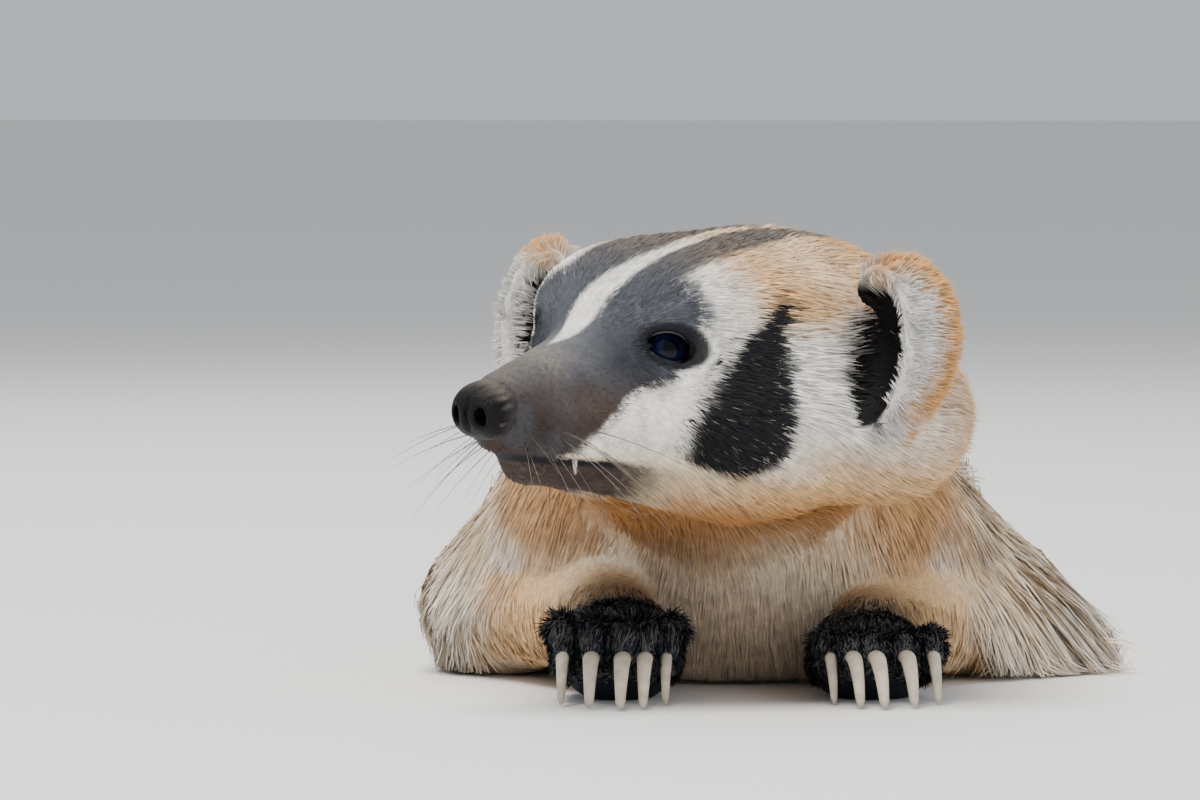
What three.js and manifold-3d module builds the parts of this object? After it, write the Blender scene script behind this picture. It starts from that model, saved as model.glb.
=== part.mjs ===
// An American badger, life size, lying flat on its belly, with its forepaws in front and its head turned right.
// Millimetres. +X points forward along the body, +Y to the animal's left, +Z up; the floor is z = 0 and the
// origin lies on the floor under the middle of the belly.
//
// The outer shape of the coat is one smooth field of ellipsoids and tapered limbs. Each sub-part is a sleeve:
// rings of points found where rays from a path inside the body meet that field. Small forms, such as lids, toes
// and locks, are then joined or cut. A piece is made a second time, grown by the gap, to cut its neighbour clear.

import * as THREE from "three";
import { mergeVertices } from "three/addons/utils/BufferGeometryUtils.js";
import Module from "manifold-3d";

const wasm = await Module();
wasm.setup();

// Driving dimensions

const GAP = 0.3; // between sub-parts that touch
const FLOOR = 0;
const HEAD = { at: [175, 0, 97], yaw: -40.5, pitch: -3, roll: -3.5 }; // frame at the middle of the ear plane
const BACK_HEIGHT = 98;
const SKIRT_REACH = 106; // half the width of the long flank hair where it lies on the floor
const ARM_FRINGE = { at: [80, 82, 5], half: [58, 44, 17] }; // long hair that the left arm spreads on the floor
const COAT_BLEND = 18; // softness where the forms of the coat's tips meet
const CORE_DEPTH = 6; // from the coat's tips down to the solid core on the back, half the coat's own depth
const SLIVER = 1e-3; // vertices closer than this are one
const FLATNESS = 0.08; // how far a surface may move as its smallest facets are joined

// Sizes on the head are in its own frame, with x forward from the ear plane to the nose.
const EYE = { at: [46.2, 19.2, 6.3], radius: 7.2, look: [0.5, 0.84, 0.2] };
const LID = { thick: 1.5, length: 13.4, open: 8.4, slant: 10 };
const EAR = {
  at: { right: [6, 67, 8.5], left: [-0.5, 66, 14] }, // the left one is pricked up and back a little
  half: [12, 21, 27],
  wall: 4,
  cup: 5.5,
  turn: 18,
};
const NOSE = { at: [98.2, 0, -13.6], half: [8.5, 10, 7.9] };
const NOSTRIL = { at: [104.2, 5.4, -14.4], half: [4.5, 1.9, 2.3] };
const MOUTH = { z: -27, width: 1.1, path: [[93, 0], [87, 10], [75, 17], [66, 22], [58, 27]] };
const CANINE = { at: [75.5, 14.6, -25.8], length: 4.6, half: 0.9 };

const UPPER_ARM = {
  right: [[114, -34, 57], [74, -66, 23]],
  left: [[112, 37, 55], [68, 74, 22]],
  radii: [26, 19],
};
const FOREARM = {
  right: [[74, -66, 21], [156, -32, 20]],
  left: [[68, 76, 20], [148, 45, 16]],
  radii: [20, 14.5],
};
const FOREPAW = {
  right: { at: [174, -29.5], heading: 0, arch: 1 },
  left: { at: [168, 45], heading: 7, arch: 0.8 },
  toes: [
    { across: 14.5, reach: 14, claw: 20, half: 2.1 },
    { across: 8.5, reach: 21, claw: 27, half: 2.7 },
    { across: 2, reach: 23, claw: 29, half: 2.9 },
    { across: -7.2, reach: 21, claw: 27, half: 2.8 },
    { across: -15.8, reach: 15, claw: 21, half: 2.3 },
  ],
  claw: { height: 13, rise: 1.5 },
};
const THIGH = {
  right: [[-142, -34, 50], [-95, -54, 33]],
  left: [[-142, 34, 50], [-95, 54, 33]],
  radii: [33, 23],
};
const HIND_FOOT = {
  right: { at: [-112, -80], heading: -6, arch: 0.6 },
  left: { at: [-112, 80], heading: 6, arch: 0.6 },
  toes: [
    { across: 10.5, reach: 46, claw: 11, half: 1.4 },
    { across: 5.5, reach: 51, claw: 13, half: 1.6 },
    { across: 0, reach: 53, claw: 14, half: 1.7 },
    { across: -5.5, reach: 51, claw: 13, half: 1.6 },
    { across: -10.5, reach: 46, claw: 11, half: 1.4 },
  ],
  claw: { height: 7, rise: 0.8 },
};
const TAIL = {
  path: [[-212, 0, 42], [-252, 3, 27], [-300, 10, 19], [-342, 20, 12]],
  radii: [22, 23, 19, 9],
  core: 0.6,
};

const rad = THREE.MathUtils.degToRad;
const V = (x, y, z) => new THREE.Vector3(x, y, z);
const mirror = (p, side) => [p[0], p[1] * side, p[2]];
const SIDES = { right: -1, left: 1 };

const headFrame = new THREE.Matrix4().compose(
  V(...HEAD.at),
  new THREE.Quaternion().setFromEuler(new THREE.Euler(rad(HEAD.roll), rad(HEAD.pitch), rad(HEAD.yaw), "ZYX")),
  V(1, 1, 1),
);
const toHead = headFrame.clone().invert();
const headPoint = (p) => V(...p).applyMatrix4(headFrame).toArray();

// Field primitives: signed distances, negative inside

function ellipsoid([cx, cy, cz], [rx, ry, rz]) {
  return (x, y, z) => {
    const px = (x - cx) / rx;
    const py = (y - cy) / ry;
    const pz = (z - cz) / rz;
    const k0 = Math.hypot(px, py, pz);
    const k1 = Math.hypot(px / rx, py / ry, pz / rz);
    return k1 < 1e-9 ? -Math.min(rx, ry, rz) : (k0 * (k0 - 1)) / k1;
  };
}

function limb([ax, ay, az], [bx, by, bz], ra, rb) {
  const [dx, dy, dz] = [bx - ax, by - ay, bz - az];
  const length2 = dx * dx + dy * dy + dz * dz;
  return (x, y, z) => {
    const t = ((x - ax) * dx + (y - ay) * dy + (z - az) * dz) / length2;
    const s = THREE.MathUtils.clamp(t, 0, 1);
    return Math.hypot(x - ax - dx * s, y - ay - dy * s, z - az - dz * s) - (ra + (rb - ra) * s);
  };
}

function smoothUnion(forms, softness) {
  return (x, y, z) => {
    let d = 1e9;
    for (const form of forms) {
      const e = form(x, y, z);
      const h = Math.max(softness - Math.abs(d - e), 0) / softness;
      d = Math.min(d, e) - (h * h * softness) / 4;
    }
    return d;
  };
}

const placed = (field, toLocal) => (x, y, z) => {
  const p = V(x, y, z).applyMatrix4(toLocal);
  return field(p.x, p.y, p.z);
};
const bothSides = (make) => [make(1), make(-1)];

// The tips of the coat, and the core under them. The head's short fur has no core of its own.

const face = smoothUnion(
  [
    ellipsoid([-12, 0, 3], [66, 54, 40]), // cranium
    ellipsoid([34, 0, 9], [29, 27, 21]), // brow
    ...bothSides((s) => ellipsoid([18, 20 * s, 14], [34, 25, 22.5])), // forehead
    limb([50, 0, -3.5], [90, 0, -11], 19.5, 10.4), // bridge of the muzzle
    ...bothSides((s) => limb([50, 13 * s, -17], [88, 5 * s, -18.5], 13, 8.2)), // upper lips
    ...bothSides((s) => limb([22, 17 * s, -27], [78, 4 * s, -29], 15, 6)), // lower jaw
    ...bothSides((s) => ellipsoid([12, 28 * s, -13], [38, 26, 28])), // cheeks
    ...bothSides((s) => ellipsoid([45, 19 * s, 6], [13, 8.5, 10])), // swelling round the eyes
    ...bothSides((s) => ellipsoid([-16, 44 * s, -12], [32, 32, 30])), // ruff under the ears
  ],
  9,
);

// A form drawn in by a depth, above and at the sides but not below, where the belly lies on the floor.
function drawnIn([x, y, z], [rx, ry, rz], depth, front = depth) {
  return ellipsoid([x, y, z - depth / 2], [rx - front, ry - depth, rz - depth / 2]);
}

const trunkForms = (depth) => [
  drawnIn([-150, 0, 44], [80, 60, 50], depth), // rump
  drawnIn([-75, 0, 46], [112, 67, 51], depth), // loin
  drawnIn([20, 0, 48], [102, 71, BACK_HEIGHT - 48], depth), // ribs
  drawnIn([88, 2, 48], [62, 66, 50], depth, depth * 0.3), // shoulders and chest
  limb([90, 0, 60], [146, 0, 84], 44 - depth, 43 - depth * 0.3), // neck
];
const legForms = (depth) =>
  Object.keys(SIDES).flatMap((name) => [
    limb(...UPPER_ARM[name], ...UPPER_ARM.radii.map((r) => r + depth)),
    limb(...THIGH[name], ...THIGH.radii.map((r) => r + depth)),
  ]);
const fringeForms = [
  ellipsoid([-50, 0, 8], [165, SKIRT_REACH, 23]), // flanks
  ellipsoid(ARM_FRINGE.at, ARM_FRINGE.half),
];

const core = smoothUnion([smoothUnion(trunkForms(CORE_DEPTH), 26), placed(face, toHead)], 14);
const tailForm = (share) => {
  const radii = TAIL.radii.map((radius) => radius * share);
  const bones = TAIL.path.slice(1).map((p, i) => limb(TAIL.path[i], p, radii[i], radii[i + 1]));
  return smoothUnion(bones, 8);
};
const tailCore = tailForm(TAIL.core);
const coatTips = smoothUnion(
  [...trunkForms(0), ...legForms(CORE_DEPTH), ...fringeForms, tailForm(1), placed(face, toHead)],
  COAT_BLEND,
);

// Sleeves

// Frames along a curve: rings stand square to it, with v kept as near as it can be to straight up.
function pathFrames(points, count) {
  const curve = new THREE.CatmullRomCurve3(points.map((p) => V(...p)), false, "centripetal");
  return Array.from({ length: count }, (_, i) => {
    const along = curve.getTangentAt(i / (count - 1));
    const u = V(0, 0, 1).cross(along).normalize();
    return { at: curve.getPointAt(i / (count - 1)), along, u, v: along.clone().cross(u), tilt: 0 };
  });
}

// The rays of a round end start from one place and tilt step by step towards the path's direction.
function roundEnd(frame, steps, sign) {
  return Array.from({ length: steps }, (_, i) => ({ ...frame, tilt: (sign * rad(90) * (i + 1)) / (steps + 1) }));
}

function castRay(field, at, direction, grow, reach) {
  let inside = 0;
  let outside = reach;
  for (let r = 0; r < reach; r += 2) {
    if (field(at.x + direction.x * r, at.y + direction.y * r, at.z + direction.z * r) > grow) {
      outside = r;
      break;
    }
    inside = r;
  }
  for (let i = 0; i < 14; i++) {
    const r = (inside + outside) / 2;
    if (field(at.x + direction.x * r, at.y + direction.y * r, at.z + direction.z * r) > grow) outside = r;
    else inside = r;
  }
  const p = at.clone().addScaledVector(direction, inside);
  p.z = Math.max(p.z, FLOOR - grow);
  return p;
}

// ends: "flat" closes a ring with a fan to its middle, "round" closes it with tilted rays and a pole.
function sleeve(field, frames, sides, { grow = 0, ends = ["round", "round"], steps = 2, reach = 150 } = {}) {
  const first = frames[0];
  const last = frames[frames.length - 1];
  const rows = [...frames];
  if (ends[0] === "round") rows.unshift(...roundEnd(first, steps, -1).reverse());
  if (ends[1] === "round") rows.push(...roundEnd(last, steps, 1));
  const points = rows.flatMap((f) =>
    Array.from({ length: sides }, (_, j) => {
      const a = (2 * Math.PI * j) / sides;
      const out = f.u.clone().multiplyScalar(Math.cos(a)).addScaledVector(f.v, Math.sin(a));
      const direction = out.multiplyScalar(Math.cos(f.tilt)).addScaledVector(f.along, Math.sin(f.tilt));
      return castRay(field, f.at, direction, grow, reach);
    }),
  );
  const pole = (frame, kind, sign) => {
    if (kind === "flat") return frame.at.clone();
    return castRay(field, frame.at, frame.along.clone().multiplyScalar(sign), grow, reach);
  };
  points.push(pole(first, ends[0], -1), pole(last, ends[1], 1));
  return closedRings(points, rows.length, sides);
}

// Rings of points, then the two end points, as one closed geometry with its faces outwards.
function closedRings(points, rows, sides) {
  const faces = [];
  for (let i = 0; i + 1 < rows; i++) {
    for (let j = 0; j < sides; j++) {
      const a = i * sides + j;
      const b = i * sides + ((j + 1) % sides);
      faces.push(a, b, b + sides, a, b + sides, a + sides);
    }
  }
  const [start, end] = [rows * sides, rows * sides + 1];
  for (let j = 0; j < sides; j++) {
    const next = (j + 1) % sides;
    faces.push(start, next, j);
    faces.push(end, (rows - 1) * sides + j, (rows - 1) * sides + next);
  }
  return new THREE.BufferGeometry().setFromPoints(points).setIndex(faces);
}

// A ball stretched to three half sizes and turned; its facets keep their directions at every size.
function ball(at, half, turn = new THREE.Quaternion(), segments = [13, 8]) {
  return new THREE.SphereGeometry(1, ...segments)
    .scale(...half)
    .applyQuaternion(turn)
    .translate(...at);
}

// A tapered tube through points, with one pair of half sizes (across, thick) for each; its ends are flat.
function taperedTube(points, radii, sides, rows, grow = 0) {
  const frames = pathFrames(points, rows);
  frames[0].at.addScaledVector(frames[0].along, -grow);
  frames[rows - 1].at.addScaledVector(frames[rows - 1].along, grow);
  const ringPoints = frames.flatMap((frame, i) => {
    const k = (i / (rows - 1)) * (radii.length - 1);
    const low = Math.floor(k);
    const high = Math.min(low + 1, radii.length - 1);
    const between = (n) => THREE.MathUtils.lerp(radii[low][n], radii[high][n], k - low) + grow;
    const [across, thick] = [between(0), between(1)];
    return Array.from({ length: sides }, (_, j) => {
      const a = (2 * Math.PI * j) / sides;
      const out = frame.u.clone().multiplyScalar(across * Math.cos(a));
      const p = frame.at.clone().add(out).addScaledVector(frame.v, thick * Math.sin(a));
      p.z = Math.max(p.z, FLOOR - grow);
      return p;
    });
  });
  return closedRings([...ringPoints, frames[0].at.clone(), frames[rows - 1].at.clone()], rows, sides);
}

// Solids

function solidOf(geometry, closeness = 1e-4) {
  const bare = geometry.clone();
  for (const name of Object.keys(bare.attributes)) if (name !== "position") bare.deleteAttribute(name);
  const merged = mergeVertices(bare, closeness);
  return new wasm.Manifold(
    new wasm.Mesh({
      numProp: 3,
      vertProperties: new Float32Array(merged.attributes.position.array),
      triVerts: new Uint32Array(merged.index.array),
    }),
  );
}

const union = (solids) => solids.reduce((a, b) => a.add(b));
const cut = (solid, ...cutters) => cutters.reduce((a, b) => a.subtract(b), solid);

function geometryOf(solid) {
  const { vertProperties, triVerts } = solid.getMesh();
  const geometry = new THREE.BufferGeometry();
  geometry.setAttribute("position", new THREE.BufferAttribute(new Float32Array(vertProperties), 3));
  return geometry.setIndex(Array.from(triVerts)).toNonIndexed();
}

// The largest closed surface of a solid: this drops loose scraps and fills sealed hollows. Slivers are taken out
// first, and joining close vertices can set free a few more scraps, so it is done until one surface is left.
function largestSurface(solid) {
  let surfaces = [solid.simplify(FLATNESS)];
  for (let pass = 0; pass < 6; pass++) {
    surfaces = solidOf(geometryOf(surfaces[0]), SLIVER).decompose();
    surfaces.sort((a, b) => b.volume() - a.volume());
    if (surfaces.length === 1) break;
  }
  return geometryOf(surfaces[0]);
}

// The spine, from the rump through the neck to the muzzle: a place, then how far the ring there turns and rises

const SPINE = [
  { at: [-172, 0, 42], yaw: 0, rise: 0 },
  { at: [-90, 0, 43], yaw: 0, rise: 0 },
  { at: [0, 0, 45], yaw: 0, rise: 0 },
  { at: [60, 0, 48], yaw: 0, rise: 4 },
  { at: [108, 1, 62], yaw: -4, rise: 12 },
  { at: [137, 6, 80], yaw: -13, rise: 12 },
  { at: headPoint([-20, 0, -1]), yaw: -23, rise: 6 },
  { at: headPoint([6, 0, -3]), yaw: -33, rise: 3 },
  { at: headPoint([34, 0, -6]), yaw: HEAD.yaw, rise: -4 },
  { at: headPoint([66, 0, -10]), yaw: HEAD.yaw, rise: -6 },
  { at: headPoint([94, 0, -15]), yaw: HEAD.yaw, rise: -8 },
];
const LAST = SPINE.length - 1;
const CUTS = { chest: 2.6, neck: 4.3, head: 5.7 };

// A ring frame between two stations, k counting stations from 0.
function spineFrame(k) {
  const curve = new THREE.CatmullRomCurve3(SPINE.map((s) => V(...s.at)), false, "centripetal");
  const low = Math.min(Math.floor(k), SPINE.length - 2);
  const turn = (key) => rad(THREE.MathUtils.lerp(SPINE[low][key], SPINE[low + 1][key], k - low));
  const [yaw, rise] = [turn("yaw"), turn("rise")];
  const along = V(Math.cos(yaw) * Math.cos(rise), Math.sin(yaw) * Math.cos(rise), Math.sin(rise));
  const u = V(0, 0, 1).cross(along).normalize();
  return { at: curve.getPoint(k / (SPINE.length - 1)), along, u, v: along.clone().cross(u), tilt: 0 };
}

// Rings from one station number to another. A cut is kept open by the gap: the node in front starts past it, and
// a grown copy reaches back and forth by as much.
function spineSleeve(from, to, count, sides, { ends, steps = 2, grow = 0 }) {
  const frames = Array.from({ length: count }, (_, i) => spineFrame(from + ((to - from) * i) / (count - 1)));
  if (ends[0] === "flat") frames[0].at.addScaledVector(frames[0].along, GAP - grow);
  if (ends[1] === "flat") frames[count - 1].at.addScaledVector(frames[count - 1].along, grow);
  return solidOf(sleeve(core, frames, sides, { ends, steps, grow }));
}

const abdomenCore = (grow) => spineSleeve(0, CUTS.chest, 7, 20, { ends: ["round", "flat"], steps: 4, grow });
const chestCore = (grow) => spineSleeve(CUTS.chest, CUTS.neck, 5, 20, { ends: ["flat", "flat"], grow });
const neckCore = (grow) => spineSleeve(CUTS.neck, CUTS.head, 4, 24, { ends: ["flat", "flat"], grow });
const headCore = (grow) => spineSleeve(CUTS.head, LAST, 17, 28, { ends: ["flat", "round"], steps: 3, grow });

// Legs

// The upper arm out to the tips of its hair, which on the left also spreads over the floor beside the arm.
function upperArmSolid(name, grow) {
  const path = UPPER_ARM[name];
  const forms = [limb(...path, ...UPPER_ARM.radii.map((r) => r + CORE_DEPTH))];
  if (name === "left") forms.push(ellipsoid(ARM_FRINGE.at, ARM_FRINGE.half));
  return solidOf(sleeve(smoothUnion(forms, COAT_BLEND), pathFrames(path, 5), 26, { grow, steps: 4 }));
}

function limbSleeve(path, radii, grow) {
  const field = limb(...path, ...radii);
  return solidOf(sleeve(field, pathFrames(path, 3), 12, { grow }));
}

// A paw's own frame has x towards the toes and its origin on the floor under the middle of the palm.
function pawFrame({ at, heading }) {
  return new THREE.Matrix4().makeRotationZ(rad(heading)).setPosition(at[0], at[1], 0);
}

const toeOffset = (toe, side) => toe.across * -side;

function forePalm(pose) {
  return smoothUnion(
    [
      ellipsoid([-3, 0, 12.5 * pose.arch], [23, 19, 14.5 * pose.arch]),
      limb([-22, 0, 14 * pose.arch], [-2, 0, 14 * pose.arch], 13, 14),
    ],
    8,
  );
}

function hindSole() {
  return smoothUnion([limb([-48, 0, 10], [0, 0, 9], 11, 13), ellipsoid([22, 0, 8], [24, 15.5, 11])], 8);
}

function pawSolid(pose, kind, side, grow) {
  const frame = pawFrame(pose);
  const point = (p) => V(...p).applyMatrix4(frame).toArray();
  const fore = kind === FOREPAW;
  const palm = placed(fore ? forePalm(pose) : hindSole(), frame.clone().invert());
  const path = (fore ? [[-20, 0, 11], [2, 0, 10]] : [[-46, 0, 7], [28, 0, 6]]).map(point);
  const knuckle = fore ? { back: 16, height: 20 * pose.arch, half: 5.4 } : { back: 18, height: 11, half: 4 };
  const toes = kind.toes.map((toe) => {
    const y = toeOffset(toe, side);
    const middle = toe.reach - 6;
    const line = [
      [toe.reach - knuckle.back, y * 0.85, knuckle.height - 4],
      [middle, y, knuckle.height],
      [toe.reach + 1, y, kind.claw.height],
    ].map(point);
    const [thick, tip] = [knuckle.half, knuckle.half * 0.8];
    return solidOf(taperedTube(line, [[thick, thick], [thick, thick], [tip, tip]], 7, 4, grow));
  });
  return union([solidOf(sleeve(palm, pathFrames(path, fore ? 3 : 4), 12, { grow })), ...toes]);
}

function clawSolid(pose, kind, toe, side, grow) {
  const frame = pawFrame(pose);
  const y = toeOffset(toe, side);
  const { height, rise } = kind.claw;
  const base = toe.reach - 4;
  const drop = height - toe.half * 0.35;
  const forward = Math.sqrt(toe.claw ** 2 - drop ** 2);
  const line = [
    [base, y, height],
    [base + 4 + forward * 0.35, y, height + rise - drop * 0.12],
    [base + 4 + forward * 0.72, y, height + rise - drop * 0.52],
    [base + 4 + forward, y, toe.half * 0.35],
  ].map((p) => V(...p).applyMatrix4(frame).toArray());
  const wide = toe.half;
  const radii = [[wide, wide], [wide, wide * 0.95], [wide * 0.85, wide * 0.7], [wide * 0.45, 0.5]];
  return solidOf(taperedTube(line, radii, kind === FOREPAW ? 8 : 6, 5, grow));
}

// Locks of the long coat. Each is a flat leaf whose root sits in a core and whose tip lies at the coat's tips, so
// it follows a surface that changes from the one to the other along its length.

const LOCK = { length: 92, half: 26, thick: 2.6, sink: 3, rows: 4, lift: 0.2, step: 14, rise: 1.4, fall: 1.2 };
const LOCK_WIDTHS = [0.75, 1, 0.75, 0.1];
const LOCK_THICKNESS = [1, 1, 0.8, 0.2];

// The slope of a field, without the part that would lead down through the floor.
function outwardSlope(field, p) {
  const e = 0.5;
  const slope = (dx, dy, dz) => field(p.x + dx, p.y + dy, p.z + dz) - field(p.x - dx, p.y - dy, p.z - dz);
  return V(slope(e, 0, 0), slope(0, e, 0), Math.max(slope(0, 0, e), 0)).divideScalar(2 * e);
}

// Hair lies backwards along the body and, the steeper the surface, the more it falls.
function coatLie(back, normal) {
  const lie = back.clone().add(V(0, 0, -LOCK.fall * (1 - Math.max(normal.z, 0))));
  return lie.addScaledVector(normal, -lie.dot(normal)).normalize();
}

// Corners of a lock's section: flat beneath with a low ridge above. A grown copy stands off from it all round.
function lockSection(half, thick, grow) {
  const low = -0.6 * thick;
  if (grow === 0) return [[half, low], [0, thick], [-half, low]];
  const wide = half + grow;
  return [[wide, low - grow], [wide, low + grow], [0, thick + grow], [-wide, low + grow], [-wide, low - grow]];
}

function lockSolid(field, root, back, { length = LOCK.length, half = LOCK.half } = {}, grow = 0) {
  const p = root.clone();
  const rings = LOCK_WIDTHS.map((width, i) => {
    const s = i / (LOCK.rows - 1);
    const out = Math.min(LOCK.rise * s, 1);
    const level = (x, y, z) => (field(x, y, z) + LOCK.sink * (1 - out)) * (1 - out) + coatTips(x, y, z) * out;
    let slope = outwardSlope(level, p);
    for (let n = 0; n < 5; n++) {
      const step = THREE.MathUtils.clamp(-level(p.x, p.y, p.z) / slope.lengthSq(), -LOCK.step, LOCK.step);
      p.addScaledVector(slope, step);
      p.z = Math.max(p.z, LOCK.thick);
      slope = outwardSlope(level, p);
    }
    const normal = slope.normalize();
    const along = coatLie(back, normal);
    const across = normal.clone().cross(along);
    const at = p.clone();
    p.addScaledVector(along, length / (LOCK.rows - 1));
    const section = lockSection(half * width, LOCK.thick * LOCK_THICKNESS[i], grow);
    return { at, normal, along, across, section };
  });
  const last = rings[LOCK.rows - 1];
  rings[0].at.addScaledVector(rings[0].along, -grow);
  last.at.addScaledVector(last.along, grow);
  const corners = rings.flatMap(({ at, normal, across, section }) =>
    section.map(([u, v]) => {
      const q = at.clone().addScaledVector(across, u).addScaledVector(normal, v);
      q.z = Math.max(q.z, LOCK.lift - grow);
      return q;
    }),
  );
  return solidOf(closedRings([...corners, rings[0].at, last.at], LOCK.rows, rings[0].section.length));
}

// A seeded draw between -1 and 1
function drawer(seed) {
  let state = seed;
  return () => {
    state = (state * 1664525 + 1013904223) % 4294967296;
    return state / 2147483648 - 1;
  };
}

const backwards = (frame) => frame.along.clone().negate();

// Rows of locks rooted where rays from a path meet a core, every second row shifted by half a place.
function lockRows({ field, frames, arc, count, seed, flare = 0, back = backwards, ...size }) {
  const { length, half } = { ...LOCK, ...size };
  const draw = drawer(seed);
  const step = (arc[1] - arc[0]) / (count - 1);
  return frames.flatMap((frame, row) =>
    Array.from({ length: count - (row % 2) }, (_, i) => {
      const a = rad(arc[0] + step * (i + (row % 2) / 2) + draw() * 2);
      const out = frame.u.clone().multiplyScalar(Math.cos(a)).addScaledVector(frame.v, Math.sin(a));
      const direction = out.multiplyScalar(Math.cos(frame.tilt));
      direction.addScaledVector(frame.along, Math.sin(frame.tilt));
      const root = castRay(field, frame.at, direction, 0, 150);
      const shape = { length: length * (1 + 0.12 * draw()), half };
      const lie = back(frame).addScaledVector(direction.setZ(0), flare);
      return (grow) => lockSolid(field, root, lie, shape, grow);
    }),
  );
}

// Head pieces

const headDirection = (vector) => V(...vector).normalize().transformDirection(headFrame);

// A turn whose x points along a direction and whose z stays as near as it can be to the head's up.
function turnTowards(direction, slant = 0) {
  const x = direction.clone();
  const up = headDirection([0, 0, 1]);
  const y = up.clone().cross(x).normalize();
  const z = x.clone().cross(y);
  return new THREE.Quaternion()
    .setFromRotationMatrix(new THREE.Matrix4().makeBasis(x, y, z))
    .multiply(new THREE.Quaternion().setFromAxisAngle(V(1, 0, 0), rad(slant)));
}

function eyeForms(side) {
  const look = headDirection(mirror(EYE.look, side));
  const at = headPoint(mirror(EYE.at, side));
  const turn = turnTowards(look, -LID.slant * side);
  const globe = (extra) => solidOf(ball(at, [1, 1, 1].map(() => EYE.radius + extra), turn));
  const front = V(...at).addScaledVector(look, EYE.radius).toArray();
  const opening = solidOf(ball(front, [5, LID.length / 2, LID.open / 2], turn));
  return { globe, lid: globe(GAP + LID.thick), opening };
}

function earShell(name, grow) {
  const side = SIDES[name];
  const facing = V(Math.cos(rad(EAR.turn)), Math.sin(rad(EAR.turn)) * side, 0.05).normalize();
  const turn = turnTowards(facing.clone().transformDirection(headFrame));
  const at = mirror(EAR.at[name], side);
  const cupAt = V(...at).addScaledVector(facing, EAR.cup).toArray();
  const outer = solidOf(ball(headPoint(at), EAR.half.map((h) => h + grow), turn));
  const [deep, wide, high] = EAR.half;
  const cup = [deep + 1, wide - EAR.wall, high - EAR.wall].map((h) => h - grow);
  return outer.subtract(solidOf(ball(headPoint(cupAt), cup, turn)));
}

function noseSolid(grow) {
  const turn = turnTowards(headDirection([1, 0, -0.1]));
  return solidOf(ball(headPoint(NOSE.at), NOSE.half.map((h) => h + grow), turn));
}

function nostril(side) {
  const turn = turnTowards(headDirection([0.8, 0.6 * side, 0]));
  return solidOf(ball(headPoint(mirror(NOSTRIL.at, side)), NOSTRIL.half, turn, [10, 7]));
}

// The mouth line follows the surface at one height, from one corner round the front to the other.
function mouthGroove() {
  const half = MOUTH.path.map(([x, y]) => {
    const from = V(...headPoint([x - 14, y * 0.2, MOUTH.z]));
    const to = V(...headPoint([x, y, MOUTH.z]));
    const p = castRay(core, from, to.sub(from).normalize(), 0, 60).applyMatrix4(toHead);
    return [p.x, p.y, p.z];
  });
  const line = [...half.slice(1).reverse(), ...half.map((p) => mirror(p, -1))].map(headPoint);
  return solidOf(taperedTube(line, [[MOUTH.width, MOUTH.width]], 6, 15));
}

const tailSolid = (grow) => solidOf(sleeve(tailCore, pathFrames(TAIL.path, 5), 10, { grow }));

function canineTooth(grow) {
  const top = headPoint(CANINE.at);
  const bottom = headPoint([CANINE.at[0] + 0.6, CANINE.at[1] + 1.4, CANINE.at[2] - CANINE.length]);
  const [wide, tip] = [CANINE.half, CANINE.half * 0.4];
  return solidOf(taperedTube([top, bottom], [[wide, wide], [tip, tip]], 7, 3, grow));
}

// Every sub-part of flesh. One that stands later in the list is cut clear of all before it.

const COLOURS = {
  coat: 0xc8a878,
  face: 0x7d7468,
  leg: 0x2a2422,
  pad: 0x33353a,
  horn: 0xb9b09c,
  eye: 0x0c0b0e,
  tooth: 0xd9d6cc,
};

const sides = Object.entries(SIDES);
const eyes = sides.map(([, side]) => eyeForms(side));

function headSolid(grow) {
  if (grow > 0) return headCore(grow);
  const whole = union([headCore(0), ...eyes.map((eye) => eye.lid)]);
  const eyeCuts = eyes.flatMap((eye) => [eye.globe(GAP), eye.opening]);
  return cut(whole, ...eyeCuts, noseSolid(GAP), mouthGroove(), canineTooth(GAP));
}

const spineRows = (...places) => places.map((k) => spineFrame(k));
const rumpRows = (...tilts) => tilts.map((tilt) => ({ ...spineFrame(0), tilt: rad(tilt) }));
const tailRows = (...shares) => shares.map((share) => pathFrames(TAIL.path, 61)[Math.round(share * 60)]);

function foreLimb([name, side]) {
  return [
    { name: `upper_arm_${name}`, color: COLOURS.coat, make: (grow) => upperArmSolid(name, grow) },
    {
      name: `forearm_${name}`,
      color: COLOURS.leg,
      make: (grow) => limbSleeve(FOREARM[name], FOREARM.radii, grow),
    },
    {
      name: `forepaw_${name}`,
      color: COLOURS.leg,
      make: (grow) => pawSolid(FOREPAW[name], FOREPAW, side, grow),
    },
    ...FOREPAW.toes.map((toe, i) => ({
      name: `foreclaw_${name}_${i + 1}`,
      color: COLOURS.horn,
      make: (grow) => clawSolid(FOREPAW[name], FOREPAW, toe, side, grow),
    })),
  ];
}

function hindLimb([name, side]) {
  const path = THIGH[name];
  const outwards = side < 0 ? [80, 190] : [-10, 100];
  return [
    {
      name: `hind_foot_${name}`,
      color: COLOURS.leg,
      make: (grow) => pawSolid(HIND_FOOT[name], HIND_FOOT, side, grow),
    },
    ...HIND_FOOT.toes.map((toe, i) => ({
      name: `hindclaw_${name}_${i + 1}`,
      color: COLOURS.horn,
      make: (grow) => clawSolid(HIND_FOOT[name], HIND_FOOT, toe, side, grow),
    })),
    {
      name: `thigh_${name}`,
      color: COLOURS.coat,
      make: (grow) => limbSleeve(path, THIGH.radii, grow),
      locks: {
        field: limb(...path, ...THIGH.radii),
        frames: pathFrames(path, 2),
        arc: outwards,
        count: 2,
        seed: 12,
        length: 70,
        half: 20,
        back: () => V(-1, 0, 0),
      },
    },
  ];
}

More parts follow.
